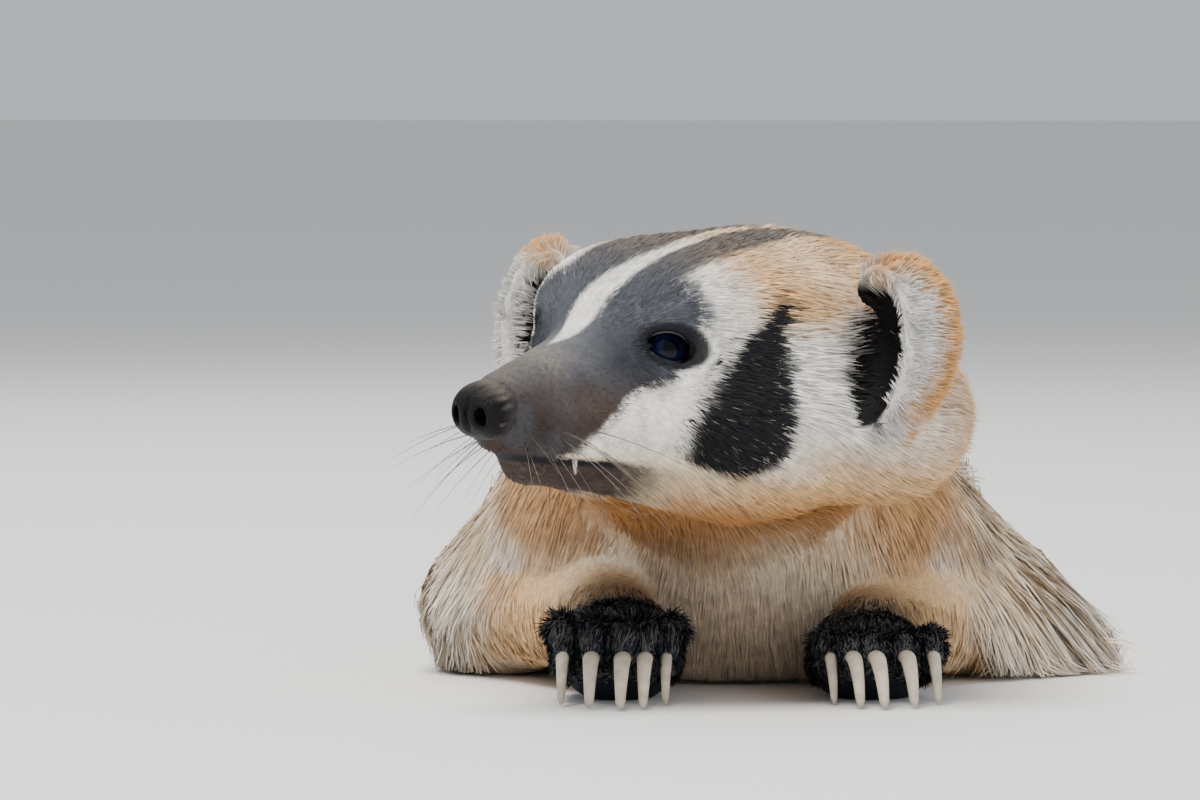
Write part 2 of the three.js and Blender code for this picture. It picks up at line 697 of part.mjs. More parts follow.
const flesh = [
  { name: "head", color: COLOURS.face, make: headSolid },
  {
    name: "neck",
    color: COLOURS.coat,
    make: neckCore,
    locks: { field: core, frames: spineRows(5.1), arc: [22, 158], count: 4, seed: 1, length: 50, half: 19 },
  },
  {
    name: "chest",
    color: COLOURS.coat,
    make: chestCore,
    locks: { field: core, frames: spineRows(4.05, 3.3), arc: [22, 158], count: 5, seed: 2, length: 74 },
  },
  ...sides.flatMap(foreLimb),
  {
    name: "abdomen",
    color: COLOURS.coat,
    make: abdomenCore,
    locks: {
      field: core,
      frames: [...spineRows(2.3, 1.6, 0.9, 0.2), ...rumpRows(-30)],
      arc: [-8, 188],
      count: 6,
      seed: 8,
      flare: 1.4,
    },
  },
  ...sides.flatMap(hindLimb),
  {
    name: "tail",
    color: COLOURS.coat,
    make: tailSolid,
    locks: {
      field: tailCore,
      frames: tailRows(0.32, 0.57),
      arc: [-10, 190],
      count: 4,
      seed: 4,
      length: 46,
      half: 14,
      back: (frame) => frame.along.clone(),
    },
  },
  ...sides.map(([name]) => ({
    name: `ear_${name}`,
    color: COLOURS.coat,
    make: (grow) => earShell(name, grow),
  })),
];

// Pieces that lie in a socket of the head, which is cut clear of them.
const inserts = [
  { name: "nose", color: COLOURS.pad, roughness: 0.6, solid: cut(noseSolid(0), nostril(1), nostril(-1)) },
  { name: "canine_left", color: COLOURS.tooth, roughness: 0.3, solid: canineTooth(0) },
  ...sides.map(([name], i) => ({
    name: `eye_${name}`,
    color: COLOURS.eye,
    roughness: 0.1,
    solid: eyes[i].globe(0),
  })),
];

const badger = new THREE.Group();

function addPart({ name, color, roughness = 0.9 }, solid) {
  const mesh = new THREE.Mesh(largestSurface(solid), new THREE.MeshStandardMaterial({ color, roughness }));
  mesh.name = name;
  badger.add(mesh);
}

const grownFlesh = flesh.map((piece) => piece.make(GAP));
const locksInFront = [];
flesh.forEach((piece, i) => {
  let solid = cut(piece.make(0), ...grownFlesh.slice(0, i));
  if (piece.locks) {
    const locks = lockRows(piece.locks);
    const others = grownFlesh.filter((_, j) => j !== i);
    const free = cut(union(locks.map((lock) => lock(0))), ...others, ...locksInFront);
    solid = solid.add(free);
    locksInFront.push(union(locks.map((lock) => lock(2 * GAP))));
  }
  addPart(piece, solid);
});
for (const insert of inserts) addPart(insert, insert.solid);

export default badger;
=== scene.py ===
# Looks of a life-size American badger that lies flat with its head turned to its right.
# Shapes are worked out in millimetres in the CAD's frame: +X forward, +Y to the animal's left, +Z up, and the
# floor at z = 0.
import math

import bpy
import numpy as np
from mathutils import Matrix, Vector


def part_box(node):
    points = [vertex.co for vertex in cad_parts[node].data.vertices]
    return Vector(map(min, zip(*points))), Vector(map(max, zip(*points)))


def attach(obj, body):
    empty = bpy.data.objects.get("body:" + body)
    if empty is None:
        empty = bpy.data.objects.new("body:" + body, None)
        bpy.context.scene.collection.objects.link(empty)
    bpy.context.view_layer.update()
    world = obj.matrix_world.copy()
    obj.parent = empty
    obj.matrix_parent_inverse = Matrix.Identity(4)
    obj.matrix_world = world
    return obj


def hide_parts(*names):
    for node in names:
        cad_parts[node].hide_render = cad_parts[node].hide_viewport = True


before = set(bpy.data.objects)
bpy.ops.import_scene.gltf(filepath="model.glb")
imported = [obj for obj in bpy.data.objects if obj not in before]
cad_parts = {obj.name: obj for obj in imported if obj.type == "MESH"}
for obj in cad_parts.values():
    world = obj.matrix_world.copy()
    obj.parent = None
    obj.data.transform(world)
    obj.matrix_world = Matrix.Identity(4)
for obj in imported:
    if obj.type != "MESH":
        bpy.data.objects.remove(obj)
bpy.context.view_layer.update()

import openvdb
from mathutils import Vector

MM = 0.001
SIDES = {"right": -1, "left": 1}
rng = np.random.default_rng(7)


def unit(v):
    v = np.asarray(v, float)
    return v / np.linalg.norm(v)


def dots(a, b):
    return np.einsum("ij,ij->i", a, b)


def norms(v):
    return np.sqrt(dots(v, v))


def units(v):
    return v / np.maximum(norms(v), 1e-9)[:, None]


def ramp(low, high, x):
    """From 0 at one value of x to 1 at another, with soft ends. It may fall as well as rise."""
    t = np.clip((x - low) / (high - low), 0, 1)
    return t * t * (3 - 2 * t)


def mix(a, b, t):
    return a + (b - a) * t


def node_middle(name):
    low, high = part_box(name)
    return (np.array(low) + np.array(high)) / 2 / MM


# The head's own frame, with x forward from the ear plane to the nose

HEAD_AT = np.array([175.0, 0.0, 97.0])
HEAD_YAW, HEAD_PITCH, HEAD_ROLL = (math.radians(a) for a in (-40.5, -3.0, -3.5))


def turn_about(axis, angle):
    c, s = math.cos(angle), math.sin(angle)
    i, j = [(1, 2), (2, 0), (0, 1)][axis]
    turn = np.eye(3)
    turn[i, i], turn[i, j], turn[j, i], turn[j, j] = c, -s, s, c
    return turn


HEAD_TURN = turn_about(2, HEAD_YAW) @ turn_about(1, HEAD_PITCH) @ turn_about(0, HEAD_ROLL)


def head_point(p):
    return HEAD_TURN @ np.asarray(p, float) + HEAD_AT


def head_direction(v):
    return HEAD_TURN @ unit(v)


def to_head(points):
    return (points - HEAD_AT) @ HEAD_TURN


def mirrored(p, side):
    return [p[0], p[1] * side, p[2]]


# Camera, as the photo was taken

PHOTO_SIZE = (1200, 800)
PHOTO_SCALE = 3.4  # photo pixels to a millimetre at the head
HEAD_PIXEL = (719, 370)  # where the head frame's origin shows
CAMERA_TURN, CAMERA_RISE, CAMERA_DISTANCE = math.radians(2.0), math.radians(2.5), 2600.0
SENSOR = 36.0


def make_camera():
    level = math.cos(CAMERA_RISE)
    towards = np.array([math.cos(CAMERA_TURN) * level, math.sin(CAMERA_TURN) * level, math.sin(CAMERA_RISE)])
    right = np.array([-math.sin(CAMERA_TURN), math.cos(CAMERA_TURN), 0])
    up = np.cross(towards, right)
    aim = HEAD_AT + right * (PHOTO_SIZE[0] / 2 - HEAD_PIXEL[0]) / PHOTO_SCALE
    aim = aim + up * (HEAD_PIXEL[1] - PHOTO_SIZE[1] / 2) / PHOTO_SCALE
    data = bpy.data.cameras.new("camera")
    data.sensor_width = SENSOR
    data.lens = SENSOR * CAMERA_DISTANCE / (PHOTO_SIZE[0] / PHOTO_SCALE)
    camera = bpy.data.objects.new("camera", data)
    camera.location = Vector((aim + towards * CAMERA_DISTANCE) * MM)
    camera.rotation_euler = Vector(-towards).to_track_quat("-Z", "Y").to_euler()
    bpy.context.scene.collection.objects.link(camera)
    bpy.context.scene.camera = camera


# Signed distances, negative inside. A form is only worked out for points near it.

FAR = 60.0
NEAR = 22.0


def near_only(centre, radius, form):
    centre = np.float32(centre)

    def distance(points):
        d = np.full(len(points), FAR, np.float32)
        near = norms(points - centre) < radius + NEAR
        if near.any():
            d[near] = form(points[near])
        return d

    return distance


def ellipsoid(centre, half, turn=None):
    centre, half = np.float32(centre), np.float32(half)
    axes = None if turn is None else np.float32(turn)

    def distance(points):
        q = points - centre
        if axes is not None:
            q = q @ axes
        q = q / half
        k0 = norms(q)
        return k0 * (k0 - 1) / np.maximum(norms(q / half), 1e-6)

    return near_only(centre, float(half.max()), distance)


def limb(start, end, r0, r1):
    start, end = np.float32(start), np.float32(end)
    axis = end - start

    def distance(points):
        q = points - start
        s = np.clip(q @ axis / (axis @ axis), 0, 1)
        return norms(q - s[:, None] * axis) - (r0 + (r1 - r0) * s)

    return near_only((start + end) / 2, float(np.linalg.norm(axis)) / 2 + max(r0, r1), distance)


def smooth_union(forms, softness):
    def distance(points):
        d = forms[0](points)
        for form in forms[1:]:
            e = form(points)
            h = np.maximum(softness - np.abs(d - e), 0) / softness
            d = np.minimum(d, e) - h * h * softness / 4
        return d

    return distance


def carved(form, cutter, softness):
    def distance(points):
        d, e = form(points), -cutter(points)
        h = np.maximum(softness - np.abs(d - e), 0) / softness
        return np.maximum(d, e) + h * h * softness / 4

    return distance


def in_head(form):
    return lambda points: form(np.float32(to_head(points)))


def deeper(form, depth):
    return lambda points: form(points) + depth


# Sizes of the body. The CAD's solids reach out to the tips of the coat, and the skin lies deeper.

COAT_DEPTH = 12.0  # from the coat's tips to the skin on the back
RIB_DEPTH = 8.5
CHEST_DEPTH = 3.5
FACE_DEPTH = 1.4
CORE_DEPTH = 6.0  # by which the CAD's limbs are larger than their own radii, out to the tips
COAT_BLEND = 18.0

EAR_PLACES = {1: [-0.5, 66, 14], -1: [6, -67, 8.5]}
EAR_HALF, EAR_TURN = np.array([12.0, 21.0, 27.0]), math.radians(18)
EYE_RADIUS = 7.2
EYE_LOOK = [0.5, 0.84, 0.2]
LID_LENGTH, LID_OPEN, LID_SLANT = 15.0, 9.4, math.radians(10)
NOSE_HALF = [8.5, 10.0, 7.9]
NOSTRIL_AT, NOSTRIL_HALF = [104.0, 4.5, -15.4], [4.6, 1.8, 2.9]
MOUTH_HEIGHT = -27.0
MOUTH_PATH = [[93, 0], [87, 10], [75, 17], [66, 22], [58, 27]]

UPPER_ARM = {"right": [[114, -34, 57], [74, -66, 23]], "left": [[112, 37, 55], [68, 74, 22]]}
ARM_RADII = [26, 19]
FOREARM = {"right": [[74, -66, 21], [156, -32, 20]], "left": [[68, 76, 20], [148, 45, 16]]}
THIGH = {"right": [[-142, -34, 50], [-95, -54, 33]], "left": [[-142, 34, 50], [-95, 54, 33]]}
FOREPAW = {"right": ([174, -29.5], 0, 1.0), "left": ([168, 45], 7, 0.8)}
FORE_TOES = [(14.5, 14), (8.5, 21), (2, 23), (-7.2, 21), (-15.8, 15)]
HIND_FOOT = {"right": ([-112, -80], -6), "left": ([-112, 80], 6)}
HIND_TOES = [(10.5, 46), (5.5, 51), (0, 53), (-5.5, 51), (-10.5, 46)]
TAIL = [[-212, 0, 42], [-252, 3, 27], [-300, 10, 19], [-342, 20, 12]]
TAIL_RADII = [22, 23, 19, 9]
TAIL_BONE = 0.34  # the skin's share of the tail's bushy radius
TAIL_BLEND = 8
SPINE = [[-345, 20, 20], [-212, 0, 42], [-90, 0, 43], [0, 0, 45], [60, 0, 48], [108, 1, 62], [137, 6, 80]]


def both_sides(make):
    return [make(1), make(-1)]


face = smooth_union(
    [
        ellipsoid([-12, 0, 3], [66, 54, 40]),
        ellipsoid([34, 0, 9], [29, 27, 21]),
        *both_sides(lambda s: ellipsoid([18, 20 * s, 14], [34, 25, 22.5])),
        limb([50, 0, -3.2], [91.5, 0, -10.9], 19.5, 10.3),
        *both_sides(lambda s: limb([50, 13 * s, -17], [88, 5 * s, -18.5], 13, 8.2)),
        *both_sides(lambda s: limb([22, 17 * s, -27], [78, 4 * s, -29], 15, 6)),
        *both_sides(lambda s: ellipsoid([12, 28 * s, -13], [38, 26, 28])),
        *both_sides(lambda s: ellipsoid([45, 19 * s, 6], [13, 8.5, 10])),
        *both_sides(lambda s: ellipsoid([-16, 42 * s, -8], [32, 30.5, 26])),
    ],
    9,
)


def trunk(back, ribs, front):
    """The trunk, drawn in by a depth at the sides and above. Below, the belly stays on the floor."""

    def drawn_in(x, y, z, rx, ry, rz, depth, ahead):
        return ellipsoid([x, y, z - depth / 2], [rx - ahead, ry - depth, rz - depth / 2])

    return smooth_union(
        [
            drawn_in(-150, 0, 44, 80, 60, 50, back, back),
            drawn_in(-75, 0, 46, 112, 67, 51, back, back),
            drawn_in(20, 0, 48, 102, 71, 50, ribs, ribs),
            drawn_in(88, 2, 48, 62, 66, 50, front, front * 0.5),
            limb([90, 0, 60], [146, 0, 84], 44 - front, 43 - front * 0.5),
        ],
        26,
    )


def tail(share):
    radii = [r * share for r in TAIL_RADII]
    return smooth_union([limb(TAIL[i], TAIL[i + 1], radii[i], radii[i + 1]) for i in range(3)], TAIL_BLEND)


def paw_points(place, heading):
    c, s = math.cos(math.radians(heading)), math.sin(math.radians(heading))
    return lambda p: [place[0] + c * p[0] - s * p[1], place[1] + s * p[0] + c * p[1], p[2]]


def toe_forms(name, at, toes, back, heights, radii):
    """Two limbs for each toe: up to its knuckle, and down to the root of its claw."""
    forms = []
    for across, reach in toes:
        y = across * -SIDES[name]
        knuckle = at([reach - 6, y, heights[1]])
        forms.append(limb(at([reach - back, y * 0.85, heights[0]]), knuckle, radii[0], radii[1]))
        forms.append(limb(knuckle, at([reach + 1.5, y, heights[2]]), radii[1], radii[2]))
    return smooth_union(forms, 1.2)


def forepaw(name):
    place, heading, arch = FOREPAW[name]
    at = paw_points(place, heading)
    top = 14 * arch
    palm = [
        ellipsoid(at([-3, 0, 12.5 * arch]), [22, 18, 13.5 * arch]),
        limb(at([-22, 0, top]), at([-2, 0, top]), 12, 13),
    ]
    toes = toe_forms(name, at, FORE_TOES, 16, [20 * arch - 4, 20 * arch, 13], [4.6, 4.7, 3.4])
    return smooth_union([smooth_union(palm, 8), toes], 3)


def hind_foot(name):
    place, heading = HIND_FOOT[name]
    at = paw_points(place, heading)
    sole = [limb(at([-48, 0, 10]), at([0, 0, 9]), 9, 11), ellipsoid(at([22, 0, 8]), [22, 14, 9.5])]
    toes = toe_forms(name, at, HIND_TOES, 18, [7, 10, 7], [3.3, 3.4, 2.4])
    return smooth_union([smooth_union(sole, 8), toes], 3)


def feet_field():
    return smooth_union([forepaw("right"), forepaw("left"), hind_foot("right"), hind_foot("left")], 1)


def ear_axes(side):
    facing = head_direction([math.cos(EAR_TURN), math.sin(EAR_TURN) * side, 0.05])
    across = unit(np.cross(head_direction([0, 0, 1]), facing))
    return np.stack([facing, across, np.cross(facing, across)], axis=1)


def ear_shell(side):
    return ellipsoid(head_point(EAR_PLACES[side]), EAR_HALF - 2.2, ear_axes(side))


def ear_cup(side):
    axes = ear_axes(side)
    centre = head_point(EAR_PLACES[side]) + axes @ np.array([6.5, -7.5 * side, -2.5])
    return ellipsoid(centre, [14.0, 13.5, 22.0], axes)


def eye_axes(side):
    look = head_direction(mirrored(EYE_LOOK, side))
    across = unit(np.cross(head_direction([0, 0, 1]), look))
    up = np.cross(look, across)
    c, s = math.cos(-LID_SLANT * side), math.sin(-LID_SLANT * side)
    return np.stack([look, across * c + up * s, up * c - across * s], axis=1)


def eye_centre(name):
    return node_middle(f"eye_{name}")


def mouth_groove():
    """A shallow cut along the lips, thinner at their corners."""
    pieces = []
    for s in (1, -1):
        path = [[x, y * s, MOUTH_HEIGHT] for x, y in MOUTH_PATH]
        pieces += [limb(path[i], path[i + 1], 1.1, 0.9 if i < 3 else 0.5) for i in range(4)]
    return smooth_union(pieces, 0.5)


def coat_tips():
    """Where the tips of the trunk's coat lie, as in the CAD."""
    limbs = [tail(1.0), ellipsoid([-50, 0, 8], [165, 106, 23]), ellipsoid([80, 82, 5], [58, 44, 17])]
    for name in SIDES:
        limbs.append(limb(*UPPER_ARM[name], *(r + CORE_DEPTH for r in ARM_RADII)))
        limbs.append(limb(*THIGH[name], 33 + CORE_DEPTH, 23 + CORE_DEPTH))
    blended = smooth_union([trunk(0, 0, 0), *limbs, in_head(face)], COAT_BLEND)
    return smooth_union([blended, *(limb(*FOREARM[name], 20, 14.5) for name in SIDES)], 3)


def skin_field():
    lips = both_sides(lambda s: limb([80, 12.6 * s, -23.6], [70, 17.8 * s, -23.6], 2.6, 2.4))
    head = smooth_union([deeper(face, FACE_DEPTH), *lips], 4)
    head = carved(head, mouth_groove(), 1.0)
    body = smooth_union([trunk(COAT_DEPTH, RIB_DEPTH, CHEST_DEPTH), in_head(head)], 16)
    ears = smooth_union([ear_shell(1), ear_shell(-1)], 1)
    cups = smooth_union([ear_cup(1), ear_cup(-1)], 1)
    whole = carved(smooth_union([body, ears], 7), cups, 4)
    limbs = [tail(TAIL_BONE)]
    for name in SIDES:
        limbs.append(limb(*UPPER_ARM[name], *(r + CORE_DEPTH - CHEST_DEPTH for r in ARM_RADII)))
        limbs.append(limb(*FOREARM[name], 18, 13.5))
        limbs.append(limb(*THIGH[name], 33 - COAT_DEPTH, 23 - COAT_DEPTH / 2))
    whole = smooth_union([whole, *limbs], 12)
    whole = smooth_union([whole, feet_field()], 4)
    lids, globes = [], []
    for name, side in SIDES.items():
        centre, axes = eye_centre(name), eye_axes(side)
        lids.append(ellipsoid(centre, [EYE_RADIUS + 1.5] * 3))
        globes.append(ellipsoid(centre, [EYE_RADIUS + 0.3] * 3))
        front = centre + axes[:, 0] * EYE_RADIUS
        globes.append(ellipsoid(front, [5, LID_LENGTH / 2, LID_OPEN / 2], axes))
    whole = smooth_union([whole, smooth_union(lids, 0.5)], 3)
    return carved(whole, smooth_union(globes, 0.3), 0.6)


# The skin's mesh: the field on a grid that is fine round the head and forepaws and coarse behind

FINE, COARSE = 1.05, 2.6
HALO = 9.0  # the field is worked out in full this near to the surface


def stops(*stretches):
    """Places along one axis: each stretch is (from, to, step)."""
    parts = [np.arange(a, b, step) for a, b, step in stretches]
    return np.float32(np.concatenate(parts + [[stretches[-1][1]]]))


def grid_values(field, axes):
    coarse = [axis[::4] for axis in axes]
    points = np.stack(np.meshgrid(*coarse, indexing="ij"), axis=-1).reshape(-1, 3)
    rough = field(points).reshape([len(axis) for axis in coarse])
    for n, axis in enumerate(axes):
        index = np.minimum((np.arange(len(axis)) + 2) // 4, len(coarse[n]) - 1)
        rough = np.take(rough, index, axis=n)
    values = np.float32(rough)
    chosen = np.argwhere(np.abs(rough) < HALO)
    for rows in np.array_split(chosen, max(1, len(chosen) // 400000)):
        points = np.stack([axes[n][rows[:, n]] for n in range(3)], axis=-1)
        values[rows[:, 0], rows[:, 1], rows[:, 2]] = field(points)
    return values


def diagonal_cross(points, quads):
    """Normals of quads, twice as long as each quad's area."""
    return np.cross(points[quads[:, 2]] - points[quads[:, 0]], points[quads[:, 3]] - points[quads[:, 1]])


def mesh_of_field(field, axes):
    """Points, quads and outward normals of the surface where the field is 0."""
    grid = openvdb.FloatGrid(FAR)
    grid.copyFromArray(np.ascontiguousarray(grid_values(field, axes)))
    points, quads = grid.convertToQuads(isovalue=0)
    columns = [np.interp(points[:, n], np.arange(len(axes[n])), axes[n]) for n in range(3)]
    points = np.float32(np.stack(columns, axis=-1))
    normals = np.zeros_like(points)
    face_normals = diagonal_cross(points, quads)
    probe = points[quads[:200]].mean(axis=1)
    outwards = field(probe + units(face_normals[:200])) > field(probe - units(face_normals[:200]))
    if outwards.mean() < 0.5:
        quads = quads[:, ::-1].copy()
        face_normals = -face_normals
    for corner in range(4):
        np.add.at(normals, quads[:, corner], face_normals)
    return points, np.int64(quads), units(normals)


# Markings. Colours are given as sRGB out of 255, and skin and coat take them from the same functions.

def srgb(*values):
    v = np.array(values) / 255
    return np.where(v <= 0.04045, v / 12.92, ((v + 0.055) / 1.055) ** 2.4)


WHITE = srgb(238, 234, 226)
CREAM = srgb(228, 208, 172)
BUFF = srgb(212, 164, 106)
TAN = srgb(160, 102, 44)
BROWN = srgb(84, 58, 36)
# Slate's blue cast is a painted reflection of the sky on dark grey fur.
SLATE = srgb(58, 65, 76)
# A pale grey-brown, used in the cap's tints and, on the muzzle's upward faces, for soiling together with a
# painted sky reflection.
PALE_GREY_BROWN = srgb(134, 124, 110)
BLACK = srgb(20, 20, 25)
# Its blue cast is a painted reflection of the sky on black paw hair.
PAW_BLACK = srgb(27, 30, 40)
EAR_BLACK = srgb(10, 7, 9)
BARE_PINK = srgb(222, 188, 160)
# The iris ring's dark blue is a painted reflection of the sky on a dark iris.
PUPIL, IRIS_WITH_SKY_REFLECTION = srgb(4, 5, 12), srgb(14, 20, 46)
NOSE_BLACK = srgb(5, 5, 7)
HORN_ROOT, HORN, HORN_TIP = srgb(96, 84, 70), srgb(196, 186, 166), srgb(150, 138, 118)
WHISKER_ROOT, WHISKER_TIP = srgb(40, 34, 30), srgb(120, 104, 86)

# Edges of the markings in the head's frame: for a height z, how far forward an edge lies, or for an x, half
# the width. The badge lies further forward on the skin than it shows, because its hair lies back.
BADGE_HEIGHTS = [-27, -22, -14, -6, 4, 12, 18, 25]
BADGE_FRONT = [33, 42.5, 43, 41.5, 38, 33.5, 28, 20.5]
BADGE_BACK = [32, 25, 21.5, 22, 22.3, 22, 21, 20]
BADGE_FORWARD = (5.4, 5.6)
STRIPE_PLACES = [-60, -20, 10, 30, 50, 62, 75]
STRIPE_WIDTH = [2.8, 2.6, 2.7, 3.3, 4.6, 4.6, 0.0]
CAP_PLACES = [-75, -40, -20, 0, 20, 30, 46, 54, 62]
CAP_WIDTH = [9, 10, 12.5, 17, 22.5, 23.5, 21, 20, 24]


def wobble(points, size, seed):
    """Smooth noise between about -1 and 1, with lumps of a size in millimetres."""
    draw = np.random.default_rng(seed)
    total = np.zeros(len(points))
    for _ in range(6):
        wave = draw.normal(size=3) / size * 1.6
        total += np.sin(points @ wave + draw.uniform(0, 6.28))
    return total / 3


def blend(base, colour, amount):
    return base + (colour - base) * np.clip(amount, 0, 1)[:, None]


def layered(colour, *layers):
    """A colour with others laid over it in turn, each by its own amount."""
    for over, amount in layers:
        colour = blend(colour, over, amount)
    return colour


def band(low, high, x, edge):
    return ramp(low - edge, low + edge, x) * (1 - ramp(high - edge, high + edge, x))


def face_colour(local, normals_local):
    """White face with a slate cap and muzzle, a stripe, a badge, tan behind and below with painted shade along
    its lower edge, a dark chin, and a pale soil film with a painted sky reflection on the muzzle's upward
    faces.
    """
    x, z = local[:, 0], local[:, 2]
    side = np.abs(local[:, 1])
    rough = wobble(local, 9, 1)
    fine = wobble(local, 3.2, 2)
    x = x + fine * 0.6
    z = z + fine * 0.4
    low = z + 0.22 * (side - 40)
    badge_back = np.interp(z, BADGE_HEIGHTS, BADGE_BACK) + BADGE_FORWARD[0]
    badge_front = np.interp(z, BADGE_HEIGHTS, BADGE_FRONT) + BADGE_FORWARD[1]
    colour = layered(
        np.tile(WHITE, (len(local), 1)),
        (mix(CREAM, BUFF, 0.75), ramp(8, 22, z) * ramp(46, 26, x) * (0.8 + 0.2 * rough)),
        (mix(BUFF, TAN, 0.15), ramp(2, -26, x) * 0.8),
        (CREAM, ramp(-18, -30, z) * 0.9),
        (mix(CREAM, BUFF, 0.8), ramp(-4, -20, low) * ramp(34, 4, x) * 0.8),
        (BUFF, ramp(-21, -32, low) * ramp(54, 26, x) * 0.85),
        # Tan along the cheek's lower edge, darkened there with painted shade where the head meets the neck.
        (TAN, ramp(-30, -41, low) * ramp(60, 34, x) * 0.8),
        (BLACK, band(badge_back, badge_front, x, 1.0) * band(-27, 24, z, 1.4) * (side > 12)),
    )
    cap = 1 - ramp(-1.6, 1.6, side - np.interp(x, CAP_PLACES, CAP_WIDTH) - 0.5 * rough)
    cap = cap * ramp(-6, 2, z)
    muzzle = ramp(-1.8, 1.8, x - 50.1 + 1.167 * np.minimum(z, 4)) * ramp(-30, -26, z)
    crown = ramp(12, 32, z) * ramp(54, 26, x)
    slate = layered(
        np.tile(mix(SLATE, PALE_GREY_BROWN, 0.1), (len(local), 1)) * (1.15 + 0.15 * rough[:, None]),
        (mix(BROWN, PALE_GREY_BROWN, 0.45), crown * (0.6 + 0.3 * rough)),
        (BLACK, ramp(15, 0, np.hypot(local[:, 0] - 58, np.hypot(side - 14, z - 4))) * 0.7),
        (mix(BLACK, BROWN, 0.35) * 1.3, ramp(96, 70, x) * ramp(3, -11, z) * 0.85),
    )
    stripe = 1 - ramp(-0.8, 0.8, side - np.interp(x, STRIPE_PLACES, STRIPE_WIDTH) - 0.3 * fine)
    stripe = stripe * ramp(-2, 4, z) * ramp(77, 72, x)
    # Paler on the muzzle's upward faces: soil together with a painted reflection of the sky.
    dust_and_sky_sheen = ramp(0.1, 0.9, normals_local[:, 2]) * ramp(56, 82, x)
    snout = ramp(76, 92, x) * (1 - 0.6 * dust_and_sky_sheen)
    lip = 1 - ramp(0.7, 1.7, np.abs(local[:, 2] - MOUTH_HEIGHT))
    return layered(
        colour,
        (slate, np.maximum(cap, muzzle)),
        (WHITE, stripe),
        (mix(CREAM, BUFF, 0.4), stripe * ramp(36, 8, x)),
        (PALE_GREY_BROWN, dust_and_sky_sheen * (0.42 + 0.2 * fine)),
        (mix(BROWN, BLACK, 0.7), snout * (0.7 + 0.25 * fine)),
        (mix(BROWN, SLATE, 0.4) * (0.8 + 0.2 * fine[:, None]), ramp(-26.2, -27.6, z) * ramp(42, 60, x)),
        (BLACK, lip * ramp(52, 64, x) * (side < 31)),
    )


def eye_ring(points):
    """Dark bare rim round each eye, drawn out to a corner behind and one in front."""
    amount = np.zeros(len(points))
    for name, side in SIDES.items():
        axes = eye_axes(side)
        q = (points - eye_centre(name) - axes[:, 0] * EYE_RADIUS) @ axes
        half = np.where(q[:, 1] * side > 0, 11.2, 11.0)
        far = np.abs(q[:, 0]) > 12
        d = np.hypot(q[:, 1] / half, q[:, 2] / np.where(q[:, 2] > 0, 7.0, 6.8))
        amount = np.maximum(amount, (1 - ramp(0.88, 1.08, d)) * ~far)
    return amount


def ear_places(points, side):
    """Each point in an ear's frame, in half sizes of the ear: forwards, outwards and up."""
    q = (points - head_point(EAR_PLACES[side])) @ ear_axes(side)
    return q / EAR_HALF * [1, side, 1]


def ear_mixes(points, side):
    """How much each point belongs to the ear, to the dark of its cup, to its rim and to its back."""
    q = ear_places(points, side)
    across = np.hypot(q[:, 1], q[:, 2])
    shell = 1 - ramp(1.02, 1.16, norms(q))
    cup = ramp(2.6, 1.2, np.abs(ear_cup(side)(points))) * ramp(0.42, 0.28, q[:, 0])
    cup = cup * ramp(-1.0, -0.8, q[:, 1]) * ramp(0.72, 0.5, q[:, 2])
    rim = ramp(0.62, 0.82, across) * (1 - cup)
    return shell, cup, rim, ramp(0.1, -0.3, q[:, 0]) * (1 - cup)


def ear_colour(points, colour):
    for side in SIDES.values():
        q = ear_places(points, side)
        shell, cup, rim, behind = ear_mixes(points, side)
        outer_rim = rim * ramp(-0.4, 0.3, q[:, 1] + 0.5 * q[:, 2])
        shade = layered(
            np.tile(mix(WHITE, SLATE, 0.3), (len(points), 1)),
            (mix(BUFF, TAN, 0.2), np.maximum(behind, outer_rim)),
            (mix(BUFF, BROWN, 0.4), behind * ramp(0.5, 0.95, q[:, 2]) * 0.7),
            (EAR_BLACK, cup),
        )
        colour = colour + (shade - colour) * shell[:, None]
    return colour


def claw_mix(points):
    """Nearness to the feet, 1 on the toes and palms, 0 a little above them."""
    return 1 - ramp(1.5, 5, feet_field()(points))


def leg_mix(points):
    lower = [limb(*FOREARM[name], 18, 13.5) for name in SIDES]
    return 1 - ramp(1, 7, smooth_union(lower, 2)(points))


def spine_place(points):
    """How far along the spine each point lies, from the tail's tip, with the spine's direction and place."""
    spine = np.array(SPINE + [HEAD_AT.tolist()], float)
    best = np.full(len(points), 1e9)
    place = np.zeros(len(points))
    along = np.zeros((len(points), 3))
    foot = np.zeros((len(points), 3))
    for i in range(len(spine) - 1):
        axis = spine[i + 1] - spine[i]
        s = np.clip((points - spine[i]) @ axis / (axis @ axis), 0, 1)
        nearest = spine[i] + s[:, None] * axis
        d = norms(points - nearest)
        closer = d < best
        best[closer] = d[closer]
        place[closer] = i + s[closer]
        along[closer] = unit(axis)
        foot[closer] = nearest[closer]
    return place, along, foot


def patch(points, at, radius, softness=0.6):
    """1 near a place and 0 away from it."""
    q = (points - np.array(at, float)) / np.array(radius, float)
    return 1 - ramp(1 - softness, 1 + softness * 0.3, norms(q))


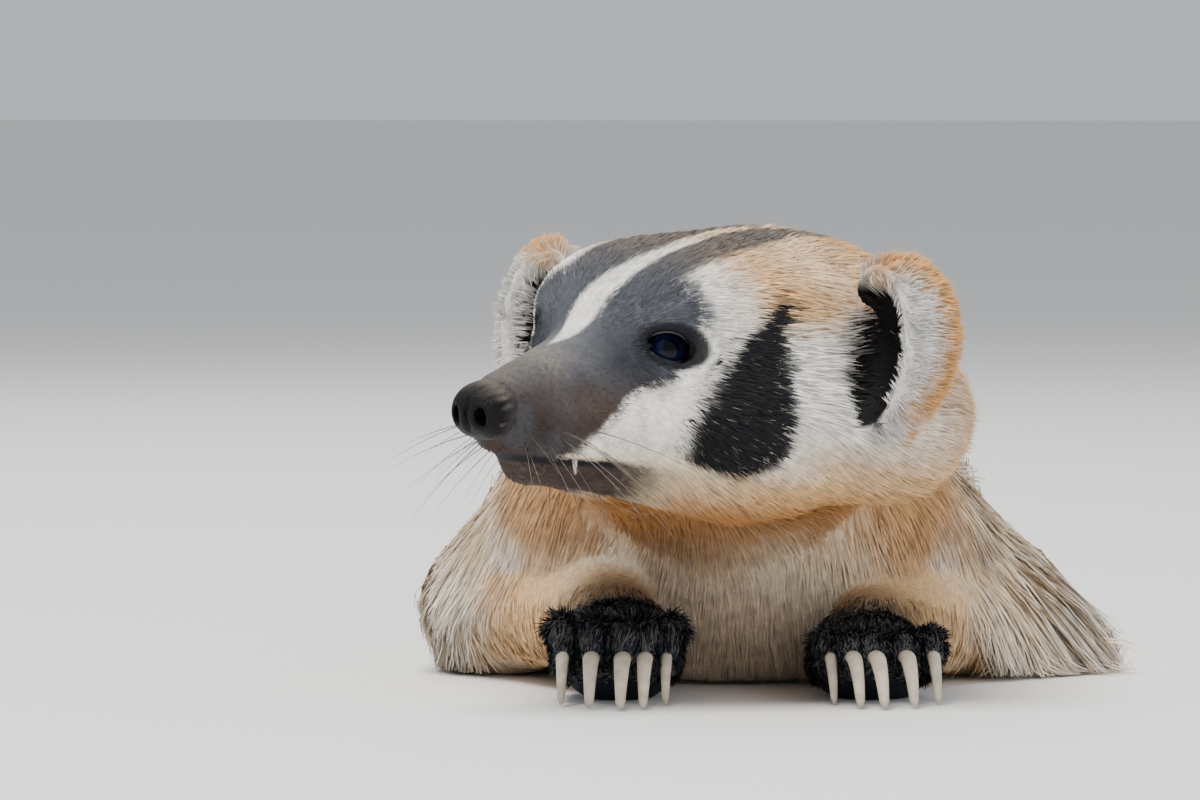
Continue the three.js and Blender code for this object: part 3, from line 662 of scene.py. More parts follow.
def body_colour(points):
    """Cream chest and belly with tan folds darkened by painted shade in the creases, a tan throat browner
    under the jaw with painted shade, grizzled shoulders and back, and a pale nape.
    """
    x, y, z = points.T
    coarse = wobble(points, 26, 3)
    fine = wobble(points * [0.35, 1, 1], 6, 4)
    layers = [
        (BARE_PINK, patch(points, [140, 0, 28], [50, 34, 26]) * 0.45),
        (mix(BUFF, CREAM, 0.4), ramp(34, 62, np.abs(y) + 5 * coarse) * 0.6),
    ]
    for side in SIDES.values():
        layers += [
            # Tan folds by the forelegs: partly tan fur, partly painted shade in the creases.
            (mix(BUFF, TAN, 0.25), patch(points, [118, 58 * side, 24], [46, 15, 26]) * 0.8),
            (mix(BUFF, TAN, 0.55), patch(points, [140, 40 * side, 8], [40, 26, 11]) * 0.8),
            (WHITE, patch(points, [112, 60 * side, 50], [26, 9, 14]) * 0.85),
        ]
    back = ramp(36, 74, z + 5 * coarse) * ramp(118, 66, x)
    streak = ramp(0.0, 0.7, fine) * ramp(34, 56, np.abs(y)) * ramp(14, 34, z)
    # Tan throat, and below the jaw a browner band that is painted shade.
    throat = ramp(40, 56, z + 3 * coarse) * ramp(104, 128, x)
    painted_jaw_shade = ramp(34, 4, np.abs(y + 22) + 4 * coarse)
    nape = (1 - ramp(3, 7, np.abs(y - 0.02 * x))) * ramp(80, 92, z) * ramp(40, 70, x)
    return layered(
        np.tile(mix(CREAM, WHITE, 0.3), (len(points), 1)),
        *layers,
        (mix(BUFF, BROWN, 0.4), back * 0.75),
        (mix(TAN, BROWN, 0.8), streak * ramp(125, 100, x) * 0.75),
        (WHITE, fringe_mix(points) * ramp(0.3, -0.6, fine) * 0.7),
        (mix(BUFF, TAN, 0.55), throat * 0.75),
        (mix(TAN, BROWN, 0.5), throat * painted_jaw_shade * 0.85),
        (CREAM, nape * 0.8),
        (mix(BUFF, BROWN, 0.3), ramp(-215, -250, x) * 0.8),
    )


def skin_colour(points, normals):
    """The colour of each point, and how much it belongs to the head."""
    local = to_head(points)
    head = ramp(7, -5, in_head(face)(points) - trunk(0, 0, 0)(points) - 4)
    near = ramp(12, 3, in_head(face)(points)) * ramp(-40, -10, local[:, 0])
    head = np.maximum(head, near * (points[:, 2] > 60))
    colour = body_colour(points)
    colour = colour + (face_colour(local, normals @ HEAD_TURN) - colour) * head[:, None]
    colour = ear_colour(points, colour)
    colour = layered(
        colour,
        (BLACK, eye_ring(points) * 0.96),
        (mix(BUFF, CREAM, 0.4), leg_mix(points) * ramp(60, 120, points[:, 0]) * 0.7),
        (mix(BROWN, PAW_BLACK, 0.4), ramp(14, 2, feet_field()(points)) * 0.7),
        (PAW_BLACK, claw_mix(points)),
    )
    return colour, head


# UV map for baking: cylinders round the spine, the limbs and the ears, each in its own part of the square

def chart_uv(points, origin, axis, up, length, low, high):
    """Round an axis, u is the angle and v the way along it, fitted between two corners of the UV square."""
    axis = unit(axis)
    across = unit(np.cross(up, axis))
    top = np.cross(axis, across)
    q = points - np.asarray(origin, float)
    angle = np.arctan2(q @ across, q @ top) / (2 * math.pi) + 0.5
    way = np.clip((q @ axis) / length, 0, 1)
    return np.stack([mix(low[0], high[0], angle), mix(low[1], high[1], way)], axis=-1)


def body_uv(points):
    place, along, foot = spine_place(points)
    across = units(np.cross([0, 0, 1.0], along))
    top = np.cross(along, across)
    q = points - foot
    angle = np.arctan2(dots(q, across), dots(q, top)) / (2 * math.pi) + 0.5
    way = np.where(place >= len(SPINE) - 1e-3, 0, place / len(SPINE))
    local = to_head(points)
    ahead = local[:, 0]
    head_angle = np.arctan2(local[:, 1], local[:, 2] + 4) / (2 * math.pi) + 0.5
    in_front = ahead > -20
    u = np.where(in_front, head_angle, angle)
    v = np.where(in_front, 0.62 + 0.37 * np.clip((ahead + 20) / 130, 0, 1), 0.6 * way)
    return np.stack([0.01 + 0.72 * u, 0.01 + 0.97 * v], axis=-1)


def bake_uv(points):
    """Where each point of the skin lies on the unwrap."""
    uv = body_uv(points)
    charts = []
    for n, (name, side) in enumerate(SIDES.items()):
        at, axes = head_point(EAR_PLACES[side]), ear_axes(side)
        near = ellipsoid(at, EAR_HALF + 1, axes)(points) < 1.5
        charts.append((near, at - axes[:, 2] * 26, axes[:, 2], 52, n))
        arm = np.array(FOREARM[name], float)
        near = limb(*FOREARM[name], 17, 14)(points) < 3
        charts.append((near, arm[0], arm[1] - arm[0], 100, 2 + n))
        foot = np.array([*FOREPAW[name][0], 8])
        charts.append((forepaw(name)(points) < 2.5, foot - [30, 0, 0], [1.0, 0, 0], 75, 4 + n))
        sole = np.array([*HIND_FOOT[name][0], 6])
        charts.append((hind_foot(name)(points) < 2.5, sole - [65, 0, 0], [1.0, 0, 0], 130, 6 + n))
    for inside, origin, axis, length, row in charts:
        up = [0, 0, 1] if abs(unit(axis)[2]) < 0.8 else [1, 0, 0]
        low = (0.75, 0.01 + row * 0.123)
        high = (0.99, 0.12 + row * 0.123)
        uv[inside] = chart_uv(points[inside], origin, axis, up, length, low, high)
    return uv


# Meshes and materials

def new_mesh(name, points, corners, sizes, smooth=True):
    """A mesh from points in mm, the corners of its faces in one row, and how many corners each face has."""
    mesh = bpy.data.meshes.new(name)
    mesh.vertices.add(len(points))
    mesh.vertices.foreach_set("co", np.float32(points * MM).ravel())
    mesh.loops.add(len(corners))
    mesh.loops.foreach_set("vertex_index", np.int32(corners))
    mesh.polygons.add(len(sizes))
    mesh.polygons.foreach_set("loop_start", np.int32(np.concatenate([[0], np.cumsum(sizes)[:-1]])))
    mesh.update(calc_edges=True)
    mesh.polygons.foreach_set("use_smooth", np.full(len(sizes), smooth))
    obj = bpy.data.objects.new(name, mesh)
    bpy.context.scene.collection.objects.link(obj)
    return obj


def add_piece(name, points, corners, sizes, colours, uv, slot, material, nodes=(), smooth=True):
    """A piece of the model, with a colour for each point, kept as the attribute that the materials read."""
    obj = new_mesh(name, points, corners, sizes, smooth)
    markings = obj.data.color_attributes.new("markings", "FLOAT_COLOR", "POINT")
    full = np.ones((len(colours), 4), np.float32)
    full[:, :3] = np.clip(colours, 0, 1)
    markings.data.foreach_set("color", full.ravel())
    layer = obj.data.uv_layers.new(name="OFBake")
    layer.data.foreach_set("uv", np.float32(np.clip(uv, 0.0005, 0.9995)).ravel())
    obj.data.materials.append(material)
    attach(obj, "root")
    if nodes:
        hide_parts(*nodes)


def tube_faces(rows, sides, first=0, closed=False):
    """Faces between rings of points, ring after ring. A closed tube also joins its last ring to its first."""
    faces = []
    for i in range(rows if closed else rows - 1):
        a, b = first + i * sides, first + (i + 1) % rows * sides
        for j in range(sides):
            k = (j + 1) % sides
            faces.append([a + j, a + k, b + k, b + j])
    return faces


def add_tubes(name, points, faces, colours, uv_of, slot, material, nodes=()):
    """A piece from lists, with its UV map worked out from the numbers of its points."""
    corners = np.concatenate(faces)
    sizes = np.array([len(face) for face in faces])
    uv = np.stack(uv_of(corners), axis=-1)
    add_piece(name, np.array(points), corners, sizes, np.array(colours), uv, slot, material, nodes)


def add_node(material, kind, values=()):
    node = material.node_tree.nodes.new("ShaderNode" + kind)
    for key, value in dict(values).items():
        node.inputs[key].default_value = value
    return node


def plain_material(name, colour, roughness):
    material = bpy.data.materials.new(name)
    material.use_nodes = True
    shader = material.node_tree.nodes["Principled BSDF"]
    shader.inputs["Base Color"].default_value = (*colour, 1)
    shader.inputs["Roughness"].default_value = roughness
    return material


def painted_material(name, roughness, bump, scale, specular):
    """Takes its colour from the markings, varied a little, with fine bumps."""
    material = plain_material(name, BLACK, roughness)
    links = material.node_tree.links
    shader = material.node_tree.nodes["Principled BSDF"]
    shader.inputs["Specular IOR Level"].default_value = specular
    markings = add_node(material, "VertexColor")
    markings.layer_name = "markings"
    noise = add_node(material, "TexNoise", {"Scale": scale, "Detail": 4})
    links.new(add_node(material, "TexCoord").outputs["Object"], noise.inputs["Vector"])
    level = add_node(material, "MapRange", {"From Min": 0.3, "From Max": 0.7, "To Min": 0.78, "To Max": 1.15})
    links.new(noise.outputs["Fac"], level.inputs["Value"])
    shade = add_node(material, "VectorMath")
    shade.operation = "SCALE"
    links.new(markings.outputs["Color"], shade.inputs[0])
    links.new(level.outputs["Result"], shade.inputs["Scale"])
    links.new(shade.outputs["Vector"], shader.inputs["Base Color"])
    if bump:
        relief = add_node(material, "Bump", {"Strength": bump, "Distance": 0.0006})
        links.new(noise.outputs["Fac"], relief.inputs["Height"])
        links.new(relief.outputs["Normal"], shader.inputs["Normal"])
    return material


# The coat: how long, how wide, how steep and how close its tufts are, and which way they lie

def hair_flow(points, normals, head):
    """Back along the spine and down the sides, on the face back from the nose, on the feet to the claws."""
    _, along, _ = spine_place(points)
    x, y, z = points.T
    flow = -along
    steep = 1 - np.clip(normals[:, 2], 0, 1)
    flow[:, 2] -= 1.0 * steep
    front = ramp(95, 125, x)
    flow[:, 1] += np.tanh(y / 16) * (0.2 * steep + 0.3 * front)
    flow[:, 1] += np.sign(y) * 1.1 * fringe_mix(points)
    local = to_head(points)
    side, low = np.sign(local[:, 1]), ramp(12, -30, local[:, 2])
    cheek = ramp(6, 40, np.abs(local[:, 1]))
    on_head = np.stack([-np.ones(len(points)), side * (0.12 + 0.25 * cheek), -0.5 * low * cheek], axis=-1)
    crown = ramp(24, 36, local[:, 2])
    on_head[:, 1] -= side * 0.15 * crown
    tragus = tragus_mix(points)
    on_head[:, 1] += side * 1.1 * tragus
    on_head[:, 2] += 0.35 * tragus
    flow = mix(flow, units(on_head) @ HEAD_TURN.T, head[:, None])
    leg = leg_mix(points) * ramp(60, 100, x)
    flow = mix(flow, np.array([0.7, 0.0, -0.6]), leg[:, None])
    flow = mix(flow, np.array([1.0, 0.0, -0.25]), claw_mix(points)[:, None])
    flow = flow + 0.12 * np.stack([wobble(points, 18, 11 + n) for n in range(3)], axis=-1)
    flow = flow - normals * dots(flow, normals)[:, None]
    return units(flow)


def fringe_mix(points):
    """Where the long hair round the elbow spreads out over the floor."""
    x, y, z = points.T
    return ramp(48, 62, np.abs(y)) * ramp(50, 30, z) * band(-10, 118, x, 18)


def tragus_mix(points):
    """The cheek just in front of each ear, whose long hairs stand up over the opening."""
    amount = np.zeros(len(points))
    for side in SIDES.values():
        q = ear_places(points, side)
        near = band(-1.75, -0.62, q[:, 1], 0.25) * band(-0.95, 0.7, q[:, 2], 0.2)
        amount = np.maximum(amount, near * band(-0.6, 1.6, q[:, 0], 0.3))
    return amount


def coat_style(points, normals, head):
    """What the tufts are like at each point: sizes in mm, lift in radians, density in tufts to a square mm."""
    x, y, z = points.T
    lx, _, lz = to_head(points).T
    out = np.abs(y)
    paws, fringe, rings = claw_mix(points), fringe_mix(points), eye_ring(points)
    chest = ramp(80, 118, x)
    flank = ramp(34, 62, out) * ramp(80, 44, z) * ramp(95, 60, x)
    legs = leg_mix(points) * ramp(60, 100, x) * (1 - head)
    tragus = tragus_mix(points) * head
    ears, cups, rims = np.zeros((3, len(points)))
    for side in SIDES.values():
        shell, cup, rim, _ = ear_mixes(points, side)
        ears = np.maximum(ears, shell)
        cups = np.maximum(cups, shell * cup)
        rims = np.maximum(rims, shell * rim)
    face_length = mix(6.0, 2.0, ramp(30, 78, lx)) + 5 * ramp(5, -25, lx)
    face_length = face_length + 3 * ramp(-24, -38, lz) * ramp(66, 36, lx)
    style = {"length": 34, "width": 0.95, "lift": 14, "density": 0.17}
    style.update(droop=0.16, spread=2.4, clump=0.62)

    def change(amount, **values):
        for key, value in values.items():
            style[key] = mix(style[key], value, amount)

    change(flank, length=50, lift=20, density=0.2, droop=0.3)
    change(chest, length=14, lift=8, width=0.6, density=0.5, spread=1.5, clump=0.3)
    change(fringe * ramp(-40, 60, y), length=54)
    change(fringe * ramp(40, -60, y), length=28)
    change(fringe, density=0.3, droop=0.25)
    change(ramp(-215, -240, x), length=26)
    change(head, length=mix(face_length, mix(4.2, 4.8, rims), ears), lift=mix(9, 16, ramp(30, -20, lx)))
    change(head, width=mix(0.52, 0.34, ramp(20, 70, lx)), density=mix(0.95, 1.5, ramp(20, 60, lx)))
    change(head, droop=0.05, clump=0.45, spread=0.8)
    change(ears * head, lift=16)
    change(0.8 * cups, density=0)
    change(legs, length=6.5)
    change(paws, length=mix(4.2, 8.0, ramp(16, 26, z)), width=0.45, lift=24, density=1.2)
    change(ramp(-0.35, -0.7, normals[:, 2]) * ramp(14, 5, z), density=0)
    change(0.95 * np.maximum(0.9 * rings, ramp(91, 97, lx) * head), density=0)
    change(rings * head, length=2.0)
    change(tragus, length=13, lift=24)
    change(ramp(1.4, 0.7, np.abs(lz - MOUTH_HEIGHT)) * ramp(54, 60, lx) * head, density=0)
    style["lift"] = np.radians(style["lift"])
    style["grizzle"] = (1 - head) * (1 - chest) * ramp(20, 55, z + out * 0.4) * (1 - paws)
    # On the paws the pale tufts are painted highlights on the black hair; on the face they are pale hairs.
    style["frost"] = np.maximum(1.9 * paws, 0.1 * ramp(0.5, 0.9, head) * ramp(60, 40, lx))
    style["combed"] = (head < 0.3) & (paws < 0.05)
    return style


LONG_LEVELS = np.array([0, 0.36, 0.72, 1.0])
LONG_WIDTHS = np.array([0.8, 1.0, 0.62])
SHORT_LEVELS = np.array([0, 0.55, 1.0])
SHORT_WIDTHS = np.array([1.0, 0.75])
BLADE_PATCH = 0.003


def make_tufts(tufts, blades, levels, widths):
    """Points, face corners and sizes, colours and UVs of tufts of flat tapered blades that draw together."""
    count = len(tufts["root"]) * blades
    of = np.repeat(np.arange(len(tufts["root"])), blades)
    take = {key: value[of] for key, value in tufts.items()}
    normal, flow = take["normal"], take["flow"]
    side = np.cross(normal, flow)
    yaw = rng.normal(0, 0.12, count)[:, None]
    flow = units(flow + side * yaw)
    side = np.cross(normal, flow)
    lift = take["lift"] * (1 + rng.normal(0, 0.28, count))
    length = take["length"] * np.clip(1 + rng.normal(0, 0.18, count), 0.5, 1.5)
    reach = np.sqrt(rng.uniform(0, 1, count)) * take["spread"]
    angle = rng.uniform(0, 2 * math.pi, count)
    offset = side * (reach * np.cos(angle))[:, None] + flow * (reach * np.sin(angle))[:, None]
    roll = rng.normal(0, 0.3, count)[:, None]
    across = side * np.cos(roll) + normal * np.sin(roll)
    rows = []
    for n, s in enumerate(levels):
        ahead = (np.cos(lift) * s * length)[:, None] * flow
        out = (np.sin(lift) * (s - 0.42 * s * s) * length - 0.6 * (1 - s))[:, None] * normal
        fall = (take["droop"] * s * s * length)[:, None] * np.array([0, 0, -1.0])
        p = take["root"] + offset * (1 - take["clump"] * s)[:, None] + ahead + out + fall
        if n < len(levels) - 1:
            half = (take["width"] * widths[n] / 2)[:, None] * across
            rows += [p - half, p + half]
        else:
            rows.append(p)
    per_blade = len(rows)
    points = np.stack(rows, axis=1)
    if take["combed"].any():
        points[take["combed"]] = combed(points[take["combed"]])
    low = 0.5 + 0.5 * rng.uniform(0, 1, (count, 1))
    points[:, :, 2] = np.maximum(points[:, :, 2], low)
    level_of = np.repeat(np.arange(len(levels)), 2)[:per_blade]
    colours = take["stops"][:, level_of, :]
    tint = 1 + rng.normal(0, 0.09, (count, 1, 1))
    colours = colours * np.clip(tint, 0.7, 1.35)
    # Some tufts drawn pale: painted highlights on the paws, pale hairs on the face.
    pale = (rng.uniform(0, 1, count) < 0.22 * take["frost"])[:, None, None]
    colours = np.where(pale, mix(colours, mix(SLATE, WHITE, 0.3), 0.55), colours)
    uv = np.empty((count, per_blade, 2))
    sign = np.tile([-1, 1], len(levels))[:per_blade] * np.ones(per_blade)
    sign[-1] = 0
    uv[:, :, 0] = take["uv"][:, :1] + sign * BLADE_PATCH * 0.4
    uv[:, :, 1] = take["uv"][:, 1:] + (levels[level_of] - 0.5) * BLADE_PATCH
    quads = [[2 * n, 2 * n + 1, 2 * n + 3, 2 * n + 2] for n in range(len(levels) - 2)]
    top = 2 * (len(levels) - 2)
    blade_corners = np.array([c for quad in quads for c in quad] + [top, top + 1, top + 2])
    sizes = np.tile([4] * len(quads) + [3], count)
    corners = (np.arange(count)[:, None] * per_blade + blade_corners).ravel()
    return points.reshape(-1, 3), corners, sizes, colours.reshape(-1, 3), uv.reshape(-1, 2)[corners]


def combed(blades):
    """Blades with what stands out past the coat's tips drawn back to them, but for a few stray tips."""
    tips = coat_tips()
    count, rows, _ = blades.shape
    flat = blades.reshape(-1, 3).copy()
    stray = np.repeat(np.abs(rng.normal(0, 1.6, count)), rows) * np.tile(np.linspace(0.2, 1, rows), count)
    for _ in range(2):
        over = tips(np.float32(flat)) - stray
        out = np.flatnonzero(over > 0)
        near = flat[out]
        slope = [tips(np.float32(near + step)) - tips(np.float32(near - step)) for step in np.eye(3)]
        flat[out] = near - units(np.stack(slope, axis=-1)) * over[out][:, None]
    return flat.reshape(blades.shape)


MOST_TRIANGLES = 190000


def coat_pieces(name, tufts, blades, levels, widths, slot, material):
    """The tufts as joined meshes, from tail to nose, none over the limit on triangles."""
    order = np.argsort(tufts["root"][:, 0], kind="stable")
    triangles = len(order) * blades * (2 * (len(levels) - 2) + 1)
    for n, chosen in enumerate(np.array_split(order, max(1, math.ceil(triangles / MOST_TRIANGLES)))):
        made = make_tufts({key: value[chosen] for key, value in tufts.items()}, blades, levels, widths)
        add_piece(f"{name}_{n + 1}", *made, slot, material, smooth=False)


def grow_coat(surface, slot_material):
    """Roots drawn over the skin by the coat's density, with what each tuft needs taken from its place."""
    points, quads, normals, colours, head = surface
    middle = points[quads].mean(axis=1)
    normal = units(normals[quads].mean(axis=1))
    colour = colours[quads].mean(axis=1)
    on_head = head[quads].mean(axis=1)
    area = norms(diagonal_cross(points, quads)) / 2
    style = coat_style(middle, normal, on_head)
    flow = hair_flow(middle, normal, on_head)
    uv = bake_uv(middle)
    weight = area * style["density"]
    total = int(weight.sum())
    quad = np.searchsorted(np.cumsum(weight), rng.uniform(0, weight.sum(), total))
    quad = np.minimum(quad, len(quads) - 1)
    s, t = rng.uniform(0, 1, (2, total, 1))
    a, b, c, d = (points[quads[quad, n]] for n in range(4))
    root = mix(mix(a, b, s), mix(d, c, s), t)
    short = style["length"][quad] < 16
    grizzle = (style["grizzle"][quad] * rng.uniform(0.3, 1.0, total))[:, None]
    base = colour[quad]
    silver = mix(base, WHITE, 0.12 + 0.6 * grizzle)
    banded = mix(base, mix(BROWN, BLACK, 0.35), 0.7 * grizzle)
    stops_long = np.stack([base * 0.75, banded, silver, mix(base, WHITE, 0.5)], axis=1)
    stops_short = np.stack([base * 0.88, base, mix(base, WHITE, 0.015)], axis=1)
    tufts = {key: value[quad] for key, value in style.items()}
    tufts.update(root=root, normal=normal[quad], flow=flow[quad], uv=uv[quad])
    for name, chosen, blades, levels, widths, all_stops in (
        ("coat_short", short, 4, SHORT_LEVELS, SHORT_WIDTHS, stops_short),
        ("coat_long", ~short, 6, LONG_LEVELS, LONG_WIDTHS, stops_long),
    ):
        part = {key: value[chosen] for key, value in tufts.items()}
        part["stops"] = all_stops[chosen]
        coat_pieces(name, part, blades, levels, widths, *slot_material[name])


# Skin

SKIN_NODES = ["head", "neck", "chest", "abdomen", "tail", "ear_right", "ear_left"]
LIMB_NODES = ["upper_arm", "forearm", "forepaw", "thigh", "hind_foot"]


def make_skin(material):
    axes = [
        stops((-352, 60, COARSE), (60, 290, FINE)),
        stops((-112, -92, COARSE), (-92, 80, FINE), (80, 112, COARSE)),
        stops((-2.5, 162, FINE)),
    ]
    points, quads, normals = mesh_of_field(skin_field(), axes)
    points[:, 2] = np.maximum(points[:, 2], 0.3)
    colours, head = skin_colour(points, normals)
    nodes = SKIN_NODES + [f"{part}_{name}" for part in LIMB_NODES for name in SIDES]
    sizes = np.full(len(quads), 4)
    uv = bake_uv(points[quads].mean(axis=1)).repeat(4, axis=0)
    add_piece("skin", points, quads.ravel(), sizes, colours, uv, "face_coat", material, nodes)
    return points, quads, normals, colours, head


# Eyes, nose, tooth and claws

def make_eye(name, material):
    axes, centre = eye_axes(SIDES[name]), eye_centre(name)
    turns, rings = 48, 32
    points, colours = [], []
    for i in range(rings + 1):
        a = math.pi * i / rings
        bulge = 0.55 * math.exp(-((a / 0.62) ** 2))
        for j in range(turns):
            b = 2 * math.pi * j / turns
            v = np.array([math.cos(a), math.sin(a) * math.cos(b), math.sin(a) * math.sin(b)])
            points.append(centre + axes @ v * (EYE_RADIUS - 0.2 + bulge))
        # The blue iris ring is a painted sky reflection.
        colours += [IRIS_WITH_SKY_REFLECTION if 0.34 < a < 0.8 else PUPIL] * turns
    faces = [[a, d, c, b] for a, b, c, d in tube_faces(rings + 1, turns)]

    def uv_of(c):
        return 0.02 + 0.96 * (c % turns) / turns, 0.02 + 0.96 * (c // turns) / rings

    add_tubes(f"eyeball_{name}", points, faces, colours, uv_of, "eye", material, [f"eye_{name}"])


def lid_rim(name, material):
    """A bare wet rim that follows the almond of the lids over the eyeball."""
    axes, centre = eye_axes(SIDES[name]), eye_centre(name)
    steps, sides, radius = 56, 8, EYE_RADIUS + 0.75
    ring = []
    for i in range(steps):
        a = 2 * math.pi * i / steps
        across = LID_LENGTH / 2 * 1.02 * math.cos(a)
        height = (LID_OPEN / 2 + 0.2) * math.sin(a) * (1.0 if math.sin(a) > 0 else 0.92)
        height *= 1 - 0.25 * abs(math.cos(a)) ** 3
        depth = math.sqrt(max(radius**2 - across**2 - height**2, 1.0))
        ring.append(centre + axes @ np.array([depth, across, height]))
    points = []
    for i in range(steps):
        out = unit(ring[i] - centre)
        sideways = np.cross(unit(ring[(i + 1) % steps] - ring[i - 1]), out)
        for j in range(sides):
            b = 2 * math.pi * j / sides
            points.append(ring[i] + out * 0.75 * math.cos(b) + sideways * 1.05 * math.sin(b))
    faces = tube_faces(steps, sides, closed=True)

    def uv_of(c):
        return 0.02 + 0.96 * (c // sides) / steps, 0.02 + 0.96 * (c % sides) / sides

    add_tubes(f"lids_{name}", points, faces, [BLACK] * len(points), uv_of, "eye", material)


def nose_field():
    centre = to_head(node_middle("nose")[None])[0]
    wings = both_sides(lambda s: ellipsoid(centre + [1.6, 4.0 * s, -0.9], [6.4, 4.9, 6.4]))
    rear = limb(centre, [90, 0, -10.6], 7.2, 8.3)
    pad = smooth_union([ellipsoid(centre, np.array(NOSE_HALF) - [0.3, 1.4, 0.5]), *wings, rear], 4)
    cuts = both_sides(lambda s: ellipsoid(mirrored(NOSTRIL_AT, s), NOSTRIL_HALF))
    cuts += both_sides(lambda s: limb([100.5, 8.7 * s, -16.4], [95.5, 10.2 * s, -13.2], 0.9, 0.6))
    cuts.append(limb([107.2, 0, -11], [105.0, 0, -22], 0.5, 0.8))
    return in_head(carved(pad, smooth_union(cuts, 1.0), 1.2))


def make_nose(material):
    low, high = (np.array(corner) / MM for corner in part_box("nose"))
    axes = [stops((low[n] - 4, high[n] + 4, 0.45)) for n in range(3)]
    points, quads, normals = mesh_of_field(nose_field(), axes)
    local = to_head(points)
    speckle = wobble(points, 1.6, 21)
    # The upward-facing top, towards the rear, is painted paler grey-brown.
    paler_top = ramp(0.1, 0.8, (normals @ HEAD_TURN)[:, 2] + 0.4 * speckle)
    paler_top = paler_top * ramp(107, 97, local[:, 0])
    colours = blend(np.tile(NOSE_BLACK, (len(points), 1)), PALE_GREY_BROWN, paler_top * 0.55)
    behind = ramp(101.5, 96.5, local[:, 0] + 0.4 * speckle)
    colours = blend(colours, mix(BROWN, SLATE, 0.6) * 0.8, behind * 0.8)
    u = 0.5 + local[quads.ravel(), 1] / 26
    v = 0.5 + (local[quads.ravel(), 2] + 15) / 26
    uv, sizes = np.stack([u, v], axis=-1), np.full(len(quads), 4)
    add_piece("nose_leather", points, quads.ravel(), sizes, colours, uv, "nose_pad", material, ["nose"])


def claw_ring(centre, across, up, half, thick, sides):
    ring = []
    for j in range(sides):
        a = 2 * math.pi * j / sides
        flat_below = 1 if math.sin(a) > 0 else 0.8
        ring.append(centre + across * half * math.cos(a) + up * thick * math.sin(a) * flat_below)
    return ring


def make_claws(name, place_of_foot, toes, height, rise, lengths, halves, nodes, material):
    """The claws of one foot, tapered and bent down to the floor. A station is a reach and a height."""
    at = paw_points(*place_of_foot)
    side = SIDES[name.split("_")[-1]]
    rows, sides = 22, 18
    points, faces, colours = [], [], []
    for (across, reach), length, half in zip(toes, lengths, halves):
        faces += tube_faces(rows, sides, len(points))
        drop = height - half * 0.35
        forward = math.sqrt(length**2 - drop**2)
        stations = [
            (reach - 6, height - 0.5),
            (reach - 2, height),
            (reach + forward * 0.35, height + rise - drop * 0.1),
            (reach + forward * 0.72, height + rise - drop * 0.5),
            (reach + forward, half * 0.32),
        ]
        for i in range(rows):
            s = i / (rows - 1)
            here = [smooth_through([q[n] for q in stations], s) for n in range(2)]
            ahead = [smooth_through([q[n] for q in stations], min(s + 0.02, 1.02)) for n in range(2)]
            along = unit(np.array(at([ahead[0], 0, ahead[1]])) - np.array(at([here[0], 0, here[1]])))
            sideways = unit(np.cross([0, 0, 1.0], along))
            wide = half * (1.06 - 0.62 * s**1.6) if i < rows - 1 else half * 0.2
            thick = wide * (1.0 - 0.25 * s)
            centre = np.array(at([here[0], across * -side, max(here[1], thick * 0.8 + 0.3)]))
            points += claw_ring(centre, sideways, np.cross(along, sideways), wide, thick, sides)
            shade = mix(HORN_ROOT, HORN, ramp(0.1, 0.5, s))
            colours += [mix(shade, HORN_TIP, 0.4 * ramp(0.75, 1, s))] * sides
    for n in range(len(toes)):
        root = list(range(n * rows * sides, n * rows * sides + sides))
        faces += [root[::-1], [c + (rows - 1) * sides for c in root]]
    points = np.array(points)
    points[:, 2] = np.maximum(points[:, 2], 0.2)

    def uv_of(c):
        claw, row, turn = c // (rows * sides), (c // sides) % rows, c % sides
        return (claw + 0.05 + 0.9 * turn / sides) / len(toes), 0.02 + 0.96 * row / rows

    add_tubes(f"claws_{name}", points, faces, colours, uv_of, "claw", material, nodes)


def smooth_through(values, s):
    """A smooth curve through evenly spaced values. Past 1 it goes straight on."""
    n = len(values)
    k = min(max(s, 0.0), 1.0) * (n - 1)
    i = min(int(k), n - 2)
    t = k - i
    a, b = values[i], values[i + 1]
    before = values[i - 1] if i > 0 else 2 * a - b
    after = values[i + 2] if i + 2 < n else 2 * b - a
    extra = (s - min(s, 1.0)) * (n - 1) * (b - a)
    m0, m1 = (b - before) / 2, (after - a) / 2
    ends = (2 * t**3 - 3 * t**2 + 1) * a + (t**3 - 2 * t**2 + t) * m0 + (3 * t**2 - 2 * t**3) * b
    return ends + (t**3 - t**2) * m1 + extra


FORE_CLAWS = ([20, 27, 29, 27, 21], [2.1, 2.7, 2.9, 2.8, 2.3])
HIND_CLAWS = ([11, 13, 14, 13, 11], [1.4, 1.6, 1.7, 1.6, 1.4])


def make_all_claws():
    horn = painted_material("horn", 0.5, 0.25, 260, 0.4)
    for name in SIDES:
        nodes = [f"foreclaw_{name}_{n + 1}" for n in range(5)]
        make_claws(f"fore_{name}", FOREPAW[name][:2], FORE_TOES, 13, 1.5, *FORE_CLAWS, nodes, horn)
        nodes = [f"hindclaw_{name}_{n + 1}" for n in range(5)]
        make_claws(f"hind_{name}", HIND_FOOT[name], HIND_TOES, 7, 0.8, *HIND_CLAWS, nodes, horn)


def finish_tooth():
    """The tooth keeps its CAD shape, smoothed, with a material of its own."""
    tooth = plain_material("tooth", srgb(226, 220, 204), 0.25)
    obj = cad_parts["canine_left"]
    obj.data.materials.clear()
    obj.data.materials.append(tooth)
    smooth = obj.modifiers.new("smooth", "SUBSURF")
    smooth.levels = smooth.render_levels = 2


# Whiskers: single stiff hairs on the lips, over the eyes and under the chin

